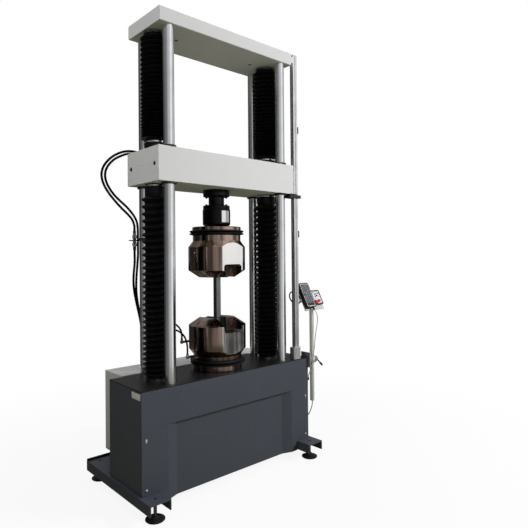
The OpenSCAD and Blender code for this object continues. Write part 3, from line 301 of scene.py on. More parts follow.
moulded("rubber", 0.46, 350, 0.00008, 0.012, shine=0.26)
moulded("foot_rubber", 0.50, 300, 0.00012, 0.10)
moulded("hose_rubber", 0.60, 500, 0.00006, 0.010, shine=0.08)
moulded("cable_black", 0.42, 600, 0.00004)
moulded("cable_grey", 0.45, 600, 0.00004)
moulded("black_plastic", 0.50, 900, 0.00004, 0.01, shine=0.3)
moulded("red_plastic", 0.22, 300, 0.00001, 0.0)
print("soft and moulded finishes:", len(paints), "paints so far")

# %% [markdown]
# ## Tread plate
# The base's top is black painted tread plate. Real lozenges stand up from it, made further down, and the
# paint is worn a little where boots and tools touch it.


# %% Tread plate finish
def tread(slot):
    paint = Paint(slot)
    worn = paint.noise(18, 8).ramp(0.55, 0.82)
    fine = paint.noise(420, 3)
    colour = paint.mix(worn * 0.25, shade(tone[slot], 0.5), (0.08, 0.08, 0.075))
    paints[slot] = paint.put(Base_Color=colour, Roughness=0.34 + worn * 0.14, Normal=paint.bump(fine, 0.0001),
        Specular_IOR_Level=0.22)


tread("tread_black")
for node in frame["nodes"].values():
    node.data.materials.clear()
for entry in frame["record"]["subparts"]:
    frame["nodes"][entry["node"]].data.materials.append(paints[entry["material_slot"]])
print("every node has its finish")

# %% [markdown]
# ## Softened edges
# Bent sheet and machined blocks have small round edges that catch light. A solid from the frame has razor
# edges, so a copy is made: its loose triangles are merged, its flat faces joined, and a Bevel rounds what
# is sharper than 32 degrees, or 12 on the lower front panel, whose bends are shallow. The copy stands for
# the node and rides on the same body.

# %% Softened copies
slot_of = {entry["node"]: entry["material_slot"] for entry in frame["record"]["subparts"]}
body_of = {node: body for body, members in frame["record"]["behaviour"]["bodies"].items() for node in members}
smooth_angle = math.radians(32)
crease = {"lower_front_panel": math.radians(12)}
merge_distance = 0.00001


def finish_mesh(piece, node=None, body=None):
    """Smooth shading up to the sharp angle, then the body and the node that it stands for."""
    for face in piece.data.polygons:
        face.use_smooth = True
    piece.data.set_sharp_from_angle(angle=crease.get(node, smooth_angle))
    if node:
        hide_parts(node)
    if body != "blend":
        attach(piece, body or body_of[node])
    return piece


def add_piece(name, mesh, *materials):
    for material in materials:
        mesh.materials.append(material)
    piece = bpy.data.objects.new(name, mesh)
    bpy.context.scene.collection.objects.link(piece)
    return piece


def poured(name, shape):
    """Turns a bmesh drawing into a mesh and lets go of it."""
    mesh = bpy.data.meshes.new(name)
    shape.to_mesh(mesh)
    shape.free()
    return mesh


def bake_modifiers(piece):
    """Turns the evaluated piece into a plain mesh."""
    bpy.context.view_layer.update()
    result = bpy.data.meshes.new_from_object(piece.evaluated_get(bpy.context.evaluated_depsgraph_get()))
    piece.modifiers.clear()
    old = piece.data
    piece.data = result
    bpy.data.meshes.remove(old)
    return piece


def flatten(mesh, width, smooth_below):
    """Flat shading on plane faces, so that only edges and round surfaces are shaded smoothly."""
    shape = bmesh.new()
    shape.from_mesh(mesh)
    wide = {face for face in shape.faces
        if face.calc_area() > 1.3 * width * max(edge.calc_length() for edge in face.edges)}
    for face in wide:
        curved = False
        for edge in face.edges:
            for other in edge.link_faces:
                if other in wide and face.calc_area() < 4 * other.calc_area():
                    curved = curved or 0.008 < face.normal.angle(other.normal, 0) < smooth_below
        face.smooth = curved
    shape.to_mesh(mesh)
    shape.free()


def round_edges(piece, width, steps, sharp_angle=math.radians(30)):
    """A Bevel on every edge that is sharper than sharp_angle."""
    bevel = piece.modifiers.new("edges", "BEVEL")
    bevel.width = width
    bevel.segments = steps
    bevel.limit_method = "ANGLE"
    bevel.angle_limit = sharp_angle
    return bake_modifiers(piece)


def softened(node, width, slot=None):
    """A copy of a node with round edges, which stands for the node."""
    shape = bmesh.new()
    shape.from_mesh(frame["nodes"][node].data)
    bmesh.ops.remove_doubles(shape, verts=shape.verts, dist=merge_distance)
    bmesh.ops.dissolve_limit(shape, angle_limit=math.radians(0.4), verts=shape.verts, edges=shape.edges)
    piece = add_piece(node + "_soft", poured(node + "_soft", shape), paints[slot or slot_of[node]])
    round_edges(piece, width, 2, crease.get(node, smooth_angle))
    finish_mesh(piece, node)
    flatten(piece.data, width, crease.get(node, smooth_angle))
    return piece


soft_widths = {
    "skid_frame": 0.002, "upper_front_panel": 0.0015, "lower_front_panel": 0.0012, "side_panels": 0.0012,
    "tread_plate": 0.001, "top_beam": 0.003, "crosshead_covers": 0.002, "drive_cabinet": 0.002,
    "platform_rubbers": 0.003, "base_clamps": 0.0012, "rail_arm": 0.002, "test_bar": 0.0006,
    "upper_grip_housing": 0.0015, "lower_grip_housing": 0.0015, "guide_rail": 0.0006,
    "load_adapter": 0.001, "load_cell": 0.0012, "upper_stop": 0.001, "lower_stop": 0.001, "clamp_lever": 0.001,
    "hose_fittings": 0.0008,
}
blackened = ("upper_stop", "lower_stop", "clamp_lever", "hose_fittings")
for node, width in soft_widths.items():
    piece = softened(node, width, slot="black_paint" if node in blackened else None)
    print(piece.name, len(piece.data.polygons), "faces")

# %% [markdown]
# ## Geometry Nodes in a few lines
# Bellows, lozenges and bolts repeat, so Geometry Nodes make them. Each tree is built here with named inputs,
# ends in Realize Instances and Set Material, and its result is turned into a plain mesh.


# %% A builder of trees
class Grower(Paint):
    """A Geometry Nodes tree whose inputs are named sizes."""

    def __init__(self, name, sizes, material):
        self.tree = bpy.data.node_groups.new(name, "GeometryNodeTree")
        self.sizes = sizes
        self.material = material
        for key, value in sizes.items():
            kind = "NodeSocketInt" if isinstance(value, int) else "NodeSocketFloat"
            self.tree.interface.new_socket(key, in_out="INPUT", socket_type=kind)
        self.tree.interface.new_socket("Geometry", in_out="OUTPUT", socket_type="NodeSocketGeometry")
        self.inputs = self.tree.nodes.new("NodeGroupInput")

    def size(self, key):
        return Wire(self, self.inputs.outputs[key])

    def grow(self, shape):
        """Ends the tree, runs it and returns the piece."""
        real = self.node("GeometryNodeRealizeInstances", {}, [shape])
        done = self.node("GeometryNodeSetMaterial", {}, {"Geometry": real, "Material": self.material})
        self.tree.links.new(done.socket, self.tree.nodes.new("NodeGroupOutput").inputs[0])
        piece = add_piece(self.tree.name, bpy.data.meshes.new(self.tree.name), self.material)
        modifier = piece.modifiers.new("grow", "NODES")
        modifier.node_group = self.tree
        for item in self.tree.interface.items_tree:
            if item.in_out == "INPUT":
                modifier[item.identifier] = self.sizes[item.name]
        return bake_modifiers(piece)


def point(tree, x, y, z):
    return tree.node("ShaderNodeCombineXYZ", {}, [x, y, z])


# %% [markdown]
# ## Bellows over the screws
# A bellows is a rubber skin folded in a zigzag round the screw. A flat grid is rolled up: one way round the
# screw, the other way along it, with the radius going in and out once a fold. The folds lie closer where
# the skin hangs, so their spacing grows along the length. Solidify then gives the skin its thickness.

# %% Screw bellows
screw_x = (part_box("right_ball_screw")[0].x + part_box("right_ball_screw")[1].x) / 2
around, per_fold = 72, 6
skin_t = 0.0018
cuff_h, cuff_lap = 0.010, 0.002
fold_depth = 0.029
upper_folds, lower_folds = 26, 30


def rolled(tree, pitch_share):
    """A grid rolled round both screws; pitch_share says how much the fold spacing grows."""
    folds = tree.size("Folds")
    rings = folds * per_fold + 1
    grid = tree.node("GeometryNodeMeshGrid", {}, {"Size X": 1.0, "Size Y": 1.0, "Vertices X": around + 1,
        "Vertices Y": rings})
    place = tree.node("GeometryNodeInputPosition")
    turn = (tree.axis("X", place) + 0.5) * (2 * math.pi)
    along = tree.axis("Y", place) + 0.5
    fold = tree.math("FRACT", along * folds + 0.0001)
    saw = tree.math("ABSOLUTE", fold * 2 - 1)
    rounded = saw * 0.55 + saw.ramp(0.0, 1.0) * 0.45
    radius = tree.size("Radius") - tree.size("Depth") * rounded
    share = along + along * (along - 1) * pitch_share
    z = tree.size("Low") + (tree.size("High") - tree.size("Low")) * share
    spot = point(tree, radius * tree.math("COSINE", turn), radius * tree.math("SINE", turn), z)
    skin = tree.node("GeometryNodeSetPosition", {}, {"Geometry": grid, "Position": spot})
    closed = tree.node("GeometryNodeMergeByDistance", {}, {"Geometry": skin, "Distance": 0.0002})
    pair = tree.node("GeometryNodeJoinGeometry")
    for side in (-1, 1):
        moved = tree.node("GeometryNodeTransform", {}, {"Geometry": closed, "Translation": (side * screw_x, 0, 0)})
        tree.tree.links.new(moved.socket, pair.socket.node.inputs[0])
    return pair


def bellows(name, node, folds, pitch_share):
    low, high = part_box(node)
    outer = high.x - screw_x
    sizes = {"Radius": outer, "Depth": fold_depth, "Low": low.z + cuff_h, "High": high.z - cuff_h, "Folds": folds}
    tree = Grower(name, sizes, paints["rubber"])
    piece = tree.grow(rolled(tree, pitch_share))
    wall = piece.modifiers.new("wall", "SOLIDIFY")
    wall.thickness = skin_t
    wall.offset = -1
    bake_modifiers(piece)
    return piece


def recalculated(piece):
    """Faces turned outwards."""
    shape = bmesh.new()
    shape.from_mesh(piece.data)
    bmesh.ops.remove_doubles(shape, verts=shape.verts, dist=merge_distance)
    bmesh.ops.recalc_face_normals(shape, faces=shape.faces)
    shape.to_mesh(piece.data)
    shape.free()
    return piece


def revolved(name, outline, centres, material, steps=72):
    """Closed rings: the outline of (radius, height) turned round each centre."""
    shape = bmesh.new()
    for x, y in centres:
        rings = []
        for k in range(steps):
            a = 2 * math.pi * k / steps
            rings.append([shape.verts.new((x + r * math.cos(a), y + r * math.sin(a), z)) for r, z in outline])
        for k in range(steps):
            here, there = rings[k], rings[(k + 1) % steps]
            for i in range(len(outline)):
                n = (i + 1) % len(outline)
                corners = [here[i], there[i], there[n], here[n]]
                shape.faces.new(corners)
    return recalculated(add_piece(name, poured(name, shape), material))


upper_low, upper_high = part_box("upper_bellows")
lower_low, lower_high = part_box("lower_bellows")
travel = next(j for j in frame["joints"] if j["name"] == "crosshead_travel")["range_m"]
screws = [(-screw_x, 0), (screw_x, 0)]

upper = finish_mesh(bellows("upper_bellows_skin", "upper_bellows", upper_folds, 0.36), "upper_bellows")
skin_top = upper_high.z - cuff_h
closed_share = 1 - travel[1] / (skin_top - upper_low.z - cuff_h)
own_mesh(upper)

lower = finish_mesh(bellows("lower_bellows_skin", "lower_bellows", lower_folds, 0.22), "lower_bellows", "blend")
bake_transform(lower)
print("bellows:", len(upper.data.polygons), "and", len(lower.data.polygons), "faces")


# %% Cuffs at the bellows' ends
def cuff(name, z_low, z_high, body, node):
    outer = upper_high.x - screw_x - fold_depth
    outline = [(outer - 0.004, z_low), (outer, z_low), (outer + 0.0012, (z_low + z_high) / 2), (outer, z_high),
        (outer - 0.004, z_high)]
    piece = revolved(name, outline, screws, paints["rubber"])
    return finish_mesh(piece, node, body)


cuff("upper_cuffs_top", upper_high.z - cuff_h - cuff_lap, upper_high.z, "base", "upper_bellows")
cuff("upper_cuffs_low", upper_low.z, upper_low.z + cuff_h + cuff_lap, "crosshead", "upper_bellows")
cuff("lower_cuffs_top", lower_high.z - cuff_h - cuff_lap, lower_high.z, "crosshead", "lower_bellows")
cuff("lower_cuffs_low", lower_low.z, lower_low.z + cuff_h + cuff_lap, "base", "lower_bellows")
print("four pairs of cuffs")


# %% Collars and their clamp bands
def sleeve(name, radius, wall, z_low, z_high, slot, node=None):
    """A short ring with small chamfers round each screw, riding on the crosshead."""
    edge = 0.0008
    profile = [(radius - wall, z_low), (radius - edge, z_low), (radius, z_low + edge), (radius, z_high - edge),
        (radius - edge, z_high), (radius - wall, z_high)]
    return finish_mesh(revolved(name, profile, screws, paints[slot]), node, "crosshead")


head_low, head_high = (corner.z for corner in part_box("crosshead_covers"))
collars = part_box("crosshead_collars")
collar_r, band_r, band_h = 0.070, 0.072, 0.009
sleeve("collars_above", collar_r, 0.008, head_high, collars[1].z, "rubber", "crosshead_collars")
sleeve("collars_below", collar_r, 0.008, collars[0].z, head_low, "rubber")
for name, z in (("foot", head_high), ("top", collars[1].z - band_h), ("under", head_low - 0.015)):
    sleeve("band_" + name, band_r, 0.0022, z, z + band_h, "chrome")
print("collars reach", round(collars[0].z, 3), "to", round(collars[1].z, 3), "m")

# %% [markdown]
# ## Rubber boots of the grips
# A grip's housing slides on its piston, and a short boot with two fat lobes keeps dirt out of the gap. Its
# outline is two round lobes, turned round the load axis, and the boot rides on neither of the two bodies that it
# joins.


# %% Grip boots
def boot(node):
    low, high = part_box(node)
    outer, inner, lobe = high.x, 0.132, 0.016
    steps = 24
    outline = []
    for k in range(steps + 1):
        share = k / steps
        bulge = abs(math.sin(2 * math.pi * share)) ** 0.7
        outline.append((outer - lobe + lobe * bulge, low.z + (high.z - low.z) * share))
    outline += [(inner, high.z), (inner, low.z)]
    piece = revolved(node + "_lobes", outline, [(0, 0)], paints["rubber"], 128)
    finish_mesh(piece, node, "blend")
    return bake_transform(piece)


boot("upper_grip_boot")
boot("lower_grip_boot")
print("two boots")

# %% [markdown]
# ## Hoses and cables
# Two hydraulic hoses feed the upper grip: they leave the crosshead's back, hang in a wide loop, are held by
# a bracket on a column and run down to the cabinet. Two short hoses feed the lower grip. The handset has a
# light grey cable, and a dark one leaves the pole's foot. Each route is a list of points on one smooth
# curve, and a hose that joins two bodies is left unattached, riding on neither of them.


# %% Routes in whole millimetres
def metres(route):
    return [tuple(value / 1000 for value in spot) for spot in route]


outer_route = metres([(-400, 216, 2060), (-400, 216, 2078), (-407, 216, 2104), (-428, 214, 2128), (-460, 211, 2142),
    (-499, 208, 2149), (-551, 206, 2146), (-601, 204, 2131), (-651, 203, 2103), (-691, 203, 2067),
    (-720, 203, 2025), (-731, 203, 1982), (-726, 203, 1943), (-710, 203, 1905), (-686, 203, 1869),
    (-657, 203, 1835), (-625, 203, 1802), (-592, 203, 1771), (-557, 203, 1741), (-527, 203, 1709),
    (-512, 203, 1673), (-510, 203, 1640), (-510, 203, 1570), (-510, 203, 1500), (-508, 207, 1430),
    (-512, 212, 1362), (-513, 215, 1306), (-507, 217, 1246), (-494, 219, 1184), (-480, 222, 1129),
    (-466, 226, 1079), (-452, 231, 1020), (-440, 236, 950), (-432, 241, 870), (-430, 243, 800), (-430, 243, 735)])
inner_route = metres([(-370, 216, 2060), (-370, 216, 2078), (-374, 222, 2096), (-386, 230, 2110), (-408, 235, 2121),
    (-440, 236, 2130), (-475, 234, 2137), (-512, 230, 2138), (-552, 226, 2130), (-595, 223, 2111),
    (-635, 222, 2087), (-669, 222, 2054), (-692, 222, 2016), (-699, 222, 1978), (-692, 222, 1941),
    (-676, 222, 1908), (-653, 222, 1876), (-625, 222, 1847), (-593, 222, 1820), (-560, 222, 1794),
    (-529, 222, 1764), (-502, 222, 1732), (-484, 221, 1697), (-478, 220, 1660), (-477, 219, 1625),
    (-477, 219, 1570), (-477, 219, 1515), (-476, 221, 1480), (-480, 224, 1408), (-485, 227, 1335),
    (-486, 229, 1269), (-481, 232, 1213), (-471, 236, 1158), (-459, 241, 1108), (-444, 248, 1050),
    (-428, 255, 980), (-416, 260, 890), (-408, 264, 800), (-408, 264, 735)])
high_route = metres([(-245, 65, 926), (-245, 65, 946), (-250, 69, 980), (-267, 83, 1010), (-292, 104, 1030),
    (-318, 126, 1034), (-346, 150, 1018), (-370, 168, 982), (-388, 179, 930), (-397, 184, 866), (-399, 184, 800),
    (-399, 184, 733)])
low_route = metres([(-222, 34, 828), (-222, 34, 858), (-228, 33, 900), (-242, 36, 938), (-262, 46, 966),
    (-286, 66, 984),
    (-310, 92, 984), (-334, 122, 962), (-353, 148, 922), (-366, 166, 868), (-372, 173, 800), (-372, 173, 733)])
handset_route = metres([(737, -217, 1076), (738, -223, 1066), (742, -228, 1055), (748, -232, 1043), (754, -235, 1029),
    (758, -237, 1010), (760, -237, 988), (758, -237, 966), (753, -237, 940), (744, -237, 908), (734, -237, 864),
    (727, -237, 820), (723, -237, 785), (716, -236, 745), (709, -234, 704), (705, -228, 660), (702, -219, 624),
    (701, -207, 594), (701, -197, 576), (701, -194, 566), (701, -194, 556)])
pole_route = metres([(735, -200, 380), (735, -200, 362), (731, -199, 338), (722, -196, 312), (712, -193, 291),
    (705, -192, 283), (699, -192, 283)])

# %% Smooth tubes along the routes
steps_between = 5


def smooth_path(route):
    """A Catmull-Rom curve through the points."""
    points = [Vector(p) for p in route]
    ends = [2 * points[0] - points[1]] + points + [2 * points[-1] - points[-2]]
    path = []
    for i in range(1, len(ends) - 2):
        before, here, there, after = ends[i - 1:i + 3]
        for k in range(steps_between):
            t = k / steps_between
            path.append(0.5 * (2 * here + (there - before) * t + (2 * before - 5 * here + 4 * there - after) * t * t
                + (3 * here - 3 * there + after - before) * t * t * t))
    return path + [points[-1]]


def join_rings(shape, rings):
    """Side walls from each ring to the next."""
    for here, there in zip(rings, rings[1:]):
        for k in range(len(here)):
            n = (k + 1) % len(here)
            shape.faces.new((here[k], here[n], there[n], there[k]))


def swept(name, path, radius, material, sides=16):
    """A closed tube whose rings are carried along the path without twisting."""
    shape = bmesh.new()
    carried = Vector((0, 1, 0))
    rings = []
    for i, here in enumerate(path):
        way = (path[min(i + 1, len(path) - 1)] - path[max(i - 1, 0)]).normalized()
        carried = (carried - way * carried.dot(way)).normalized()
        other = way.cross(carried)
        rings.append([shape.verts.new(here + radius * (carried * math.cos(a) + other * math.sin(a)))
            for a in (2 * math.pi * k / sides for k in range(sides))])
    join_rings(shape, rings)
    shape.faces.new(rings[0])
    shape.faces.new(rings[-1])
    return recalculated(add_piece(name, poured(name, shape), material))


def hose(node, route, diameter, bodies=None):
    path = smooth_path(route)
    length = sum((b - a).length for a, b in zip(path, path[1:]))
    piece = swept(node + "_hose", path, diameter / 2, paints[slot_of[node]])
    finish_mesh(piece, node, "blend" if bodies else "base")
    if bodies:
        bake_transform(piece)
    print(piece.name, round(length, 3), "m")


long_hose_d, grip_hose_d, cable_d = 0.015, 0.012, 0.006
hose("outer_hose", outer_route, long_hose_d, ("base", "crosshead"))
hose("inner_hose", inner_route, long_hose_d, ("base", "crosshead"))
hose("grip_hose_high", high_route, grip_hose_d, ("base", "lower_grip"))
hose("grip_hose_low", low_route, grip_hose_d, ("base", "lower_grip"))
hose("handset_cable", handset_route, cable_d, ("base", "pole"))
hose("pole_cable", pole_route, cable_d)

# %% [markdown]
# ## Lozenges of the tread plate
# Tread plate has raised lozenges, each at a right angle to its neighbours. One lozenge is a flattened
# sphere cut by the plate, and a grid of points sets it down, turned one way or the other by its row.

# %% Tread lozenges
plate_low, plate_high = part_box("tread_plate")
lozenge_pitch = 0.026
lozenge_long, lozenge_wide, lozenge_tall = 0.0115, 0.0038, 0.0012
keep_clear = [(x, y, r) for x in (-screw_x, screw_x) for y, r in ((0, 0.074), (-0.147, 0.036), (0.147, 0.036))]
keep_clear += [(0, 0, 0.168), (0.588, -0.174, 0.044)]


def lozenges():
    columns = int((plate_high.x - plate_low.x) / lozenge_pitch)
    rows = int((plate_high.y - plate_low.y) / lozenge_pitch)
    sizes = {"Columns": columns, "Rows": rows, "Pitch": lozenge_pitch, "Top": plate_high.z}
    tree = Grower("tread_lozenges", sizes, paints["tread_black"])
    pitch = tree.size("Pitch")
    across, along = tree.size("Columns"), tree.size("Rows")
    grid = tree.node("GeometryNodeMeshGrid", {}, {"Size X": pitch * (across - 1), "Size Y": pitch * (along - 1),
        "Vertices X": across, "Vertices Y": along})
    lift = point(tree, 0, 0, tree.size("Top"))
    raised = tree.node("GeometryNodeTransform", {}, {"Geometry": grid, "Translation": lift})
    place = tree.node("GeometryNodeInputPosition")
    kept = None
    for x, y, r in keep_clear:
        away = tree.node("ShaderNodeVectorMath", {"operation": "DISTANCE"}, [place, (x, y, plate_high.z)], out="Value")
        outside = tree.math("GREATER_THAN", away, r + lozenge_long)
        kept = outside if kept is None else kept * outside
    spots = tree.node("GeometryNodeMeshToPoints", {}, {"Mesh": raised, "Selection": kept})
    spot = tree.node("GeometryNodeInputPosition")
    column = tree.axis("X", spot) / pitch
    row = tree.axis("Y", spot) / pitch
    odd = tree.math("FLOORED_MODULO", tree.math("ROUND", column + row + 0.01), 2.0)
    lozenge = tree.node("GeometryNodeMeshUVSphere", {}, {"Segments": 10, "Rings": 6, "Radius": 1.0})
    spun = tree.node("GeometryNodeInstanceOnPoints", {}, {"Points": spots, "Instance": lozenge,
        "Rotation": point(tree, 0, 0, odd * (math.pi / 2) + math.pi / 4),
        "Scale": (lozenge_long, lozenge_wide, lozenge_tall)})
    return tree.grow(spun)


plate_marks = finish_mesh(lozenges(), body="base")
print("lozenges:", len(plate_marks.data.polygons), "faces")

# %% [markdown]
# ## Bolts
# The load string is held by rings of socket screws. One screw is a short cylinder with a hexagonal hole,
# and the tree copies it round a circle. The panels have button-headed screws with smaller holes.


# %% Socket screws
def screw_mesh(name, radius, height, hole, dome, sides=24):
    """A screw head that stands up from z = 0, with a six-sided hole in its top."""
    shape = bmesh.new()
    profile = [(radius, 0), (radius, height * (1 - dome)), (radius * (1 - 0.12 - dome * 0.4), height)]
    turns = [2 * math.pi * k / sides for k in range(sides)]
    rings = [[shape.verts.new((r * math.cos(a), r * math.sin(a), z)) for a in turns] for r, z in profile]
    for z in (height, height * 0.35):
        rings.append([])
        for a in turns:
            flat = math.cos(math.pi / 6) / math.cos((a % (math.pi / 3)) - math.pi / 6)
            rings[-1].append(shape.verts.new((hole * flat * math.cos(a), hole * flat * math.sin(a), z)))
    join_rings(shape, rings)
    shape.faces.new(rings[-1])
    shape.faces.new(list(reversed(rings[0])))
    return poured(name, shape)


def bolt_ring(name, node, z, upright, count, body):
    low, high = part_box(node)
    head = add_piece(name + "_head", screw_mesh(name + "_head", 0.007, 0.009, 0.004, 0.12), paints["black_oxide"])
    sizes = {"Count": count, "Circle": high.x - 0.007, "Height": z, "Flip": 0.0 if upright else math.pi}
    tree = Grower(name, sizes, paints["black_oxide"])
    circle = tree.node("GeometryNodeMeshCircle", {}, {"Vertices": tree.size("Count"), "Radius": tree.size("Circle")})
    turned = tree.node("GeometryNodeTransform", {}, {"Geometry": circle,
        "Translation": point(tree, 0, 0, tree.size("Height")), "Rotation": (0, 0, math.pi / count)})
    head_info = tree.node("GeometryNodeObjectInfo", {}, {"Object": head}, out="Geometry")
    spread = tree.node("GeometryNodeInstanceOnPoints", {}, {"Points": turned, "Instance": head_info,
        "Rotation": point(tree, tree.size("Flip"), 0, 0)})
    piece = tree.grow(spread)
    bpy.data.objects.remove(head)
    return finish_mesh(piece, node, body)


bolts_low, bolts_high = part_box("string_bolts")
bolt_ring("adapter_bolts", "string_bolts", bolts_high.z, False, 10, "crosshead")
bolt_ring("cell_bolts", "string_bolts", bolts_low.z, True, 10, "crosshead")


def panel_heads():
    """Button heads on the front, facing the operator, at the places of the frame's own screws."""
    corners = {}
    for vertex in frame["nodes"]["panel_screws"].data.vertices:
        key = (round(vertex.co.x / 0.05), round(vertex.co.z / 0.05))
        corners.setdefault(key, []).append(vertex.co.copy())
    shape = bmesh.new()
    for group in corners.values():
        low = Vector([min(p[i] for p in group) for i in range(3)])
        high = Vector([max(p[i] for p in group) for i in range(3)])
        radius = (high.x - low.x) / 2
        head = screw_mesh("head", radius, high.y - low.y, radius * 0.48, 0.55)
        place = Matrix.Translation(((low.x + high.x) / 2, high.y, (low.z + high.z) / 2))
        head.transform(place @ Matrix.Rotation(math.pi / 2, 4, "X"))
        shape.from_mesh(head)
        bpy.data.meshes.remove(head)
    return add_piece("panel_heads", poured("panel_heads", shape), paints["chrome"])


finish_mesh(recalculated(panel_heads()), "panel_screws")
print("bolts and panel screws")

# %% [markdown]
# ## The operator's handset and control box
# Both lean back on a plate at the pole's head, so they are drawn flat, with u to the right, v to the back and
# w up the face, and then leaned with one matrix. A tray is a closed block with a sunk face: four outlines
# joined by side walls, with a Bevel on its edges.

# %% Trays and slabs
lean = math.radians(27.5)
head_at = Vector((0.735, -0.200, 1.062))
head_matrix = Matrix.Translation(head_at) @ Matrix.Rotation(-lean, 4, "X")


def outline(centre, width, length, corner, v, steps=6):
    """A rectangle with round corners, in the plane of the face."""
    points = []
    for i, (sx, sz) in enumerate(((1, 1), (-1, 1), (-1, -1), (1, -1))):
        for k in range(steps + 1):
            a = math.pi / 2 * (i + k / steps)
            points.append((centre[0] + sx * (width / 2 - corner) + corner * math.cos(a), v,
                centre[1] + sz * (length / 2 - corner) + corner * math.sin(a)))
    return points


def stack(shape, loops):
    """A closed block through the loops, capped at both ends."""
    rings = [[shape.verts.new(p) for p in loop] for loop in loops]
    join_rings(shape, rings)
    shape.faces.new(rings[0])
    shape.faces.new(rings[-1])


def leaned(name, shape, edge, slot, body="pole"):
    """Leans the flat drawing, rounds its edges and lets it ride."""
    bmesh.ops.recalc_face_normals(shape, faces=shape.faces)
    shape.transform(head_matrix)
    piece = add_piece(name, poured(name, shape), paints[slot])
    if edge:
        round_edges(piece, edge, 3, smooth_angle)
    return finish_mesh(piece, body=body)


def tray(name, centre, outer, inner, v_back, v_front, v_floor, edge, slot):
    shape = bmesh.new()
    stack(shape, [outline(centre, *outer, v_back), outline(centre, *outer, v_front),
        outline(centre, *inner, v_front), outline(centre, *inner, v_floor)])
    return leaned(name, shape, edge, slot)


def slabs(name, places, v_back, v_front, edge, slot):
    """Several flat blocks; each place is its centre, width, length and corner."""
    shape = bmesh.new()
    for centre, width, length, corner in places:
        stack(shape, [outline(centre, width, length, corner, v) for v in (v_back, v_front)])
    return leaned(name, shape, edge, slot)


def turned(name, centre, profile, slot, body="pole", flute=0):
    """A knob: (radius, height above the plate's front) turned round the v axis, with flutes of that depth."""
    steps = 40
    shape = bmesh.new()
    loops = []
    for radius, tall in profile:
        loops.append([])
        for k in range(steps):
            a = 2 * math.pi * k / steps
            r = radius - (flute if k % 4 < 2 else 0)
            loops[-1].append((centre[0] + r * math.cos(a), -tall, centre[1] + r * math.sin(a)))
    stack(shape, loops)
    return leaned(name, shape, 0, slot, body)


# %% Pole and black cable ring
def part_of(node, name, slot, wanted, width):
    """Softens the faces of a node that wanted() picks by their middle point."""
    piece = softened(node, width, slot=slot)
    piece.name = name
    shape = bmesh.new()
    shape.from_mesh(piece.data)
    unwanted = [face for face in shape.faces if not wanted(face.calc_center_median())]
    bmesh.ops.delete(shape, geom=unwanted, context="FACES")
    shape.to_mesh(piece.data)
    shape.free()
    return piece


def behind_holder(spot):
    """True on the ring and its two rods, which stand behind the leaned holder plate."""
    local = head_matrix.inverted() @ spot
    return local.y > 0.0085 and local.z > 0.05


part_of("operator_pole", "pole_and_holder", "cabinet_paint", lambda spot: not behind_holder(spot), 0.0008)
part_of("operator_pole", "cable_ring", "black_paint", behind_holder, 0.0003)
print("pole, holder and cable ring")

# %% Handset
hand_at = (-0.016, 0.105)
hand_back, hand_front = -0.0003, -0.0303
shell = tray("handset_shell", hand_at, (0.100, 0.200, 0.018), (0.086, 0.184, 0.012), hand_back, hand_front, -0.0285,
    0.003, "black_plastic")
tray("handset_rim", hand_at, (0.0855, 0.1835, 0.012), (0.0775, 0.1725, 0.009), -0.0284, -0.0303, -0.0288, 0.0004,
    "cabinet_paint")
slabs("handset_border", [(hand_at, 0.0773, 0.1723, 0.009)], -0.0284, -0.0291, 0.0002, "black_plastic")
slabs("handset_face", [((-0.016, 0.112), 0.066, 0.150, 0.006)], -0.0291, -0.0294, 0.0001, "slate_paint")
key_pitch = 0.0205
keys = [(-0.016 + i * key_pitch, 0.051 + j * key_pitch) for i in (-1, 0, 1) for j in range(7)]
slabs("handset_keys", [(at, 0.0155, 0.0155, 0.005) for at in keys], -0.0294, -0.0299, 0.0002, "cabinet_paint")
slabs("handset_key_tops", [(at, 0.0130, 0.0130, 0.004) for at in keys], -0.0299, -0.0303, 0.0002, "slate_paint")
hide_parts("handset")


def strain_relief(name, at, down, radius, length):
    """A ribbed cone round a cable where it leaves a housing."""
    rib_n = 5
    profile = [(radius, 0.0)]
    for k in range(rib_n):
        near, far = k / rib_n, (k + 0.6) / rib_n
        r = radius - (radius - 0.0042) * near
        profile += [(r, -length * near - 0.0004), (r, -length * far), (r - 0.0012, -length * far - 0.0004)]
    profile += [(0.0033, -length), (0.0033, 0.0)]
    piece = revolved(name, profile, [(0, 0)], paints["black_plastic"], 24)
    turn = Vector((0, 0, -1)).rotation_difference(Vector(down).normalized()).to_matrix().to_4x4()
    piece.data.transform(Matrix.Translation(at) @ turn)
    return finish_mesh(piece, body="pole")


strain_relief("handset_relief", (0.737, -0.2172, 1.0766), (0, -math.sin(lean), -math.cos(lean)), 0.0075, 0.022)
print("handset")

# %% Control box
box_at = (0.088, 0.085)
box_shell = tray("control_shell", box_at, (0.104, 0.118, 0.010), (0.084, 0.098, 0.006), -0.0003, -0.0153, -0.0141,
    0.0015, "black_plastic")
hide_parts("control_box")
slabs("control_face", [(box_at, 0.0835, 0.0975, 0.0055)], -0.0141, -0.0147, 0.0002, "pale_paint")
marks = [((0.084, 0.112), 0.020, 0.011, 0.0050), ((0.096, 0.100), 0.022, 0.012, 0.0055),
    ((0.078, 0.090), 0.016, 0.008, 0.0039), ((0.114, 0.118), 0.012, 0.014, 0.0030),
    ((0.118, 0.092), 0.014, 0.006, 0.0029), ((0.064, 0.126), 0.018, 0.004, 0.0019)]
slabs("control_marks", marks, -0.0147, -0.0150, 0.0001, "black_plastic")
turned("control_knob", (0.098, 0.055), [(0.0115, 0.0144), (0.0115, 0.0175), (0.0095, 0.0180), (0.0095, 0.0265),
    (0.0080, 0.0275), (0.0030, 0.0277)], "red_plastic", flute=0.0007)
stop_cap = turned("stop_cap", (0.054, 0.045), [(0.0085, 0.0110), (0.0085, 0.0210), (0.0150, 0.0240), (0.0160, 0.0265),
    (0.0160, 0.0300), (0.0150, 0.0330), (0.0125, 0.0352), (0.0085, 0.0366), (0.0030, 0.0370)], "red_plastic", "estop")
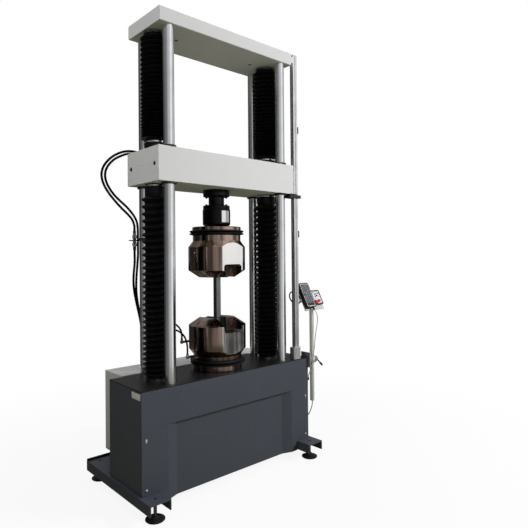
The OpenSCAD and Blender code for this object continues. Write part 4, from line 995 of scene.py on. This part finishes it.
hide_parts("estop_button")
turned("stop_collar", (0.054, 0.045), [(0.0140, 0.0140), (0.0140, 0.0160), (0.0125, 0.0172), (0.0096, 0.0172),
    (0.0096, 0.0142)], "cabinet_paint")
print("control box")

# %% [markdown]
# ## Plates, plugs and nuts
# A blank label sits on the base's left end, and a blank plate is bent round the load cell. Black plugs close
# the holes in the crosshead's end and the top beam's lifting holes. Hexagonal nuts hold the hoses at their
# bracket and on the base.


# %% Plates and plugs
def block(shape, low, high):
    corners = [(x, y, z) for z in (low[2], high[2]) for x, y in ((low[0], low[1]), (high[0], low[1]),
        (high[0], high[1]), (low[0], high[1]))]
    v = [shape.verts.new(c) for c in corners]
    for face in ((3, 2, 1, 0), (4, 5, 6, 7), (0, 1, 5, 4), (1, 2, 6, 5), (2, 3, 7, 6), (3, 0, 4, 7)):
        shape.faces.new([v[i] for i in face])


def plain(name, shape, slot, body, edge=0.0):
    piece = recalculated(add_piece(name, poured(name, shape), paints[slot]))
    if edge:
        round_edges(piece, edge, 2)
    return finish_mesh(piece, body=body)


# The lower front panel ends at the left skid's top, so this bent strip carries it down beside the skid.
foot_outline = [(-0.570, -0.200), (-0.515, -0.200), (-0.502, -0.1953), (-0.502, -0.1923), (-0.515, -0.197),
    (-0.570, -0.197)]
shape = bmesh.new()
stack(shape, [[(x, y, z) for x, y in foot_outline] for z in (0.050, 0.117)])
plain("panel_foot", shape, "slate_paint", "base")

end_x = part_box("side_panels")[0].x
label_t = 0.0006
shape = bmesh.new()
block(shape, (end_x - label_t, -0.188, 0.655), (end_x, -0.088, 0.692))
plain("end_label", shape, "pale_paint", "base", 0.0002)

cell_low, cell_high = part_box("load_cell")


def bent_plate(name, radius, z_low, z_high, middle, half, thick, slot, body):
    """A thin plate bent round the load axis; middle and half are angles from the front."""
    steps = 10
    shape = bmesh.new()
    rings = []
    for k in range(steps + 1):
        a = math.radians(-90 + middle - half + 2 * half * k / steps)
        rings.append([shape.verts.new((r * math.cos(a), r * math.sin(a), z)) for r, z in
            ((radius, z_low), (radius + thick, z_low), (radius + thick, z_high), (radius, z_high))])
    for here, there in zip(rings, rings[1:]):
        for i in range(4):
            n = (i + 1) % 4
            shape.faces.new((here[i], there[i], there[n], here[n]))
    shape.faces.new(rings[0])
    shape.faces.new(rings[-1])
    return plain(name, shape, slot, body)


bent_plate("cell_plate", cell_high.x - 0.0002, cell_low.z + 0.030, cell_high.z - 0.038, 4, 19, 0.0010, "chrome",
    "crosshead")

beam_low, beam_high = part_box("crosshead_covers")
plug_depth = 0.0012


def plugs():
    shape = bmesh.new()
    for y in (-0.14325, 0.14325):
        centre = Matrix.Translation((beam_low.x + plug_depth, y, (beam_low.z + beam_high.z) / 2))
        made = bmesh.ops.create_cone(shape, cap_ends=True, segments=32, radius1=0.0140, radius2=0.0130, depth=0.004,
            matrix=centre @ Matrix.Rotation(-math.pi / 2, 4, "Y"))
        print("plug at y", y, len(made["verts"]), "points")
    return plain("crosshead_plugs", shape, "black_plastic", "crosshead")


def hole_plugs():
    """Black discs just inside the two lifting holes, seen from below."""
    shape = bmesh.new()
    for x in (-0.314, 0.314):
        bmesh.ops.create_cone(shape, cap_ends=True, segments=32, radius1=0.0128, radius2=0.0128, depth=0.006,
            matrix=Matrix.Translation((x, 0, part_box("top_beam")[0].z + 0.006)))
    return plain("lifting_hole_plugs", shape, "black_plastic", "base")


plugs()
hole_plugs()


def nuts(name, places, body):
    """Hexagonal nuts round hoses that run up and down: x, y, lower z, height and radius."""
    shape = bmesh.new()
    for x, y, z, height, radius in places:
        for low, tall, r, sides in ((z, height, radius, 6), (z + height, height * 0.6, radius * 0.72, 20)):
            bmesh.ops.create_cone(shape, cap_ends=True, segments=sides, radius1=r, radius2=r, depth=tall,
                matrix=Matrix.Translation((x, y, low + tall / 2)))
    return plain(name, shape, "chrome", body, 0.0006)


clip = outer_route[22]
nuts("bracket_nuts", [(clip[0], clip[1], z, 0.020, 0.0140) for z in (1.586, 1.536)], "base")
foot_points = (outer_route[-1], inner_route[-1], high_route[-1], low_route[-1])
nuts("foot_nuts", [(p[0], p[1], p[2] - 0.012, 0.012, 0.0145) for p in foot_points], "base")
print("plates, plugs and nuts")

# %% [markdown]
# ## Floor, backdrop and light
# The machine stands on a plain pale floor that fades into white. A soft box high at the front right stands
# for the hall's window, a weak narrow beam lights the upper left, and a wide box overhead lights what faces
# up. Only the camera sees the floor pale: for light that bounces it is a duller olive, so undersides stay
# dark. Metal needs something to mirror, so the sky has soft bright and dark bands that only mirror rays
# meet. Far out, mirror rays pass through the floor to the lower sky, and the lamps are hidden from them, so
# that no hard white shape lies on the metal.

# %% Floor
floor_half = 30.0
fade_from, fade_to = 0.8, 3.5
floor_mesh = bpy.data.meshes.new("floor")
floor_mesh.from_pydata([(x * floor_half, y * floor_half, 0) for x, y in ((-1, -1), (1, -1), (1, 1), (-1, 1))],
    [], [(0, 1, 2, 3)])
floor_paint = Paint("floor")
floor_seen = floor_paint.node("ShaderNodeLightPath", out="Is Camera Ray")
floor_mirrored = floor_paint.node("ShaderNodeLightPath", out="Is Glossy Ray")
floor_bounced = floor_paint.mix(floor_mirrored, (0.46, 0.46, 0.32), (0.20, 0.20, 0.15))
floor_colour = floor_paint.mix(floor_seen, floor_bounced, (0.86, 0.86, 0.86))
floor_paint.put(Base_Color=floor_colour, Roughness=0.9, Specular_IOR_Level=0.1)
mirror_from, mirror_to = 2.6, 4.6
reach = floor_paint.node("ShaderNodeVectorMath", {"operation": "LENGTH"}, [floor_paint.where], out="Value")
glow = floor_paint.node("ShaderNodeEmission", {}, {"Color": (1, 1, 1, 1), "Strength": 1.0})
faded = floor_paint.node("ShaderNodeMixShader", {}, {0: (reach.ramp(fade_from, fade_to) * 0.10 + 0.90) * floor_seen})
mixer = faded.socket.node
floor_paint.tree.links.new(floor_paint.shader.outputs[0], mixer.inputs[1])
floor_paint.tree.links.new(glow.socket, mixer.inputs[2])
room = floor_paint.node("ShaderNodeBsdfTransparent")
opened = floor_paint.node("ShaderNodeMixShader", {}, {0: reach.ramp(mirror_from, mirror_to) * floor_mirrored})
floor_paint.tree.links.new(faded.socket, opened.socket.node.inputs[1])
floor_paint.tree.links.new(room.socket, opened.socket.node.inputs[2])
floor_paint.tree.links.new(opened.socket, floor_paint.tree.nodes["Material Output"].inputs[0])
floor = add_piece("floor", floor_mesh, floor_paint.material)
print("floor fades to white from", fade_from, "to", fade_to, "m")


# %% Sky
class Sky(Paint):
    """The world's nodes, written as a paint's."""

    def __init__(self, world):
        world.use_nodes = True
        self.tree = world.node_tree
        self.where = self.node("ShaderNodeTexCoord", out="Generated")


world = bpy.data.worlds.new("studio")
bpy.context.scene.world = world
sky = Sky(world)
east, north, height = (sky.axis(name) for name in "XYZ")
bearing = sky.math("ARCTAN2", east, -1 * north) * (180 / math.pi)


def step(low, high, rise):
    """A change of brightness between two bearings, where 0 is the front and 90 the right."""
    return bearing.ramp(low, high) * rise


around_room = 0.05 + step(-128, -95, 0.10) + step(-75, -25, 0.38) + step(-8, 12, 0.42) - step(42, 54, 0.62)
around_room = around_room + step(64, 76, 0.48) - step(92, 104, 0.62)
below = (-1 * height).ramp(0.03, 0.10) * step(32, 38, 0.94)
mirrored = sky.node("ShaderNodeClamp", {}, [around_room + height.ramp(0.20, 0.85) * 0.30 - below])
light_path = sky.tree.nodes.new("ShaderNodeLightPath")
is_camera = Wire(sky, light_path.outputs["Is Camera Ray"])
is_glossy = Wire(sky, light_path.outputs["Is Glossy Ray"])
sky_level = 0.07
level = is_camera + (1 - is_camera) * (is_glossy * mirrored + (1 - is_glossy) * sky_level)
background = sky.tree.nodes["Background"]
background.inputs["Color"].default_value = (1, 1, 1, 1)
sky.tree.links.new(level.socket, background.inputs["Strength"])
print("sky level", sky_level)


# %% Lamps
def lamp(name, at, towards, width, tall, watts, spread=180):
    """A soft box: a rectangle of light, width across and tall upwards."""
    light = bpy.data.lights.new(name, "AREA")
    light.shape = "RECTANGLE"
    light.size, light.size_y = width, tall
    light.energy = watts
    light.spread = math.radians(spread)
    holder = bpy.data.objects.new(name, light)
    aim = (Vector(towards) - Vector(at)).to_track_quat("-Z", "Y").to_matrix().to_4x4()
    holder.matrix_world = Matrix.Translation(at) @ aim
    holder.visible_glossy = False
    bpy.context.scene.collection.objects.link(holder)


lamp("window", (4.4, -4.9, 4.2), (-0.6, 0, 1.2), 2.4, 1.6, 122, 90)
lamp("left_high", (-4.6, -0.8, 3.3), (-0.5, 0, 2.4), 1.6, 1.6, 9, 64)
lamp("overhead", (-0.6, 0.4, 6.0), (0, 0, 0.5), 4.0, 4.0, 150)
print("three lamps")
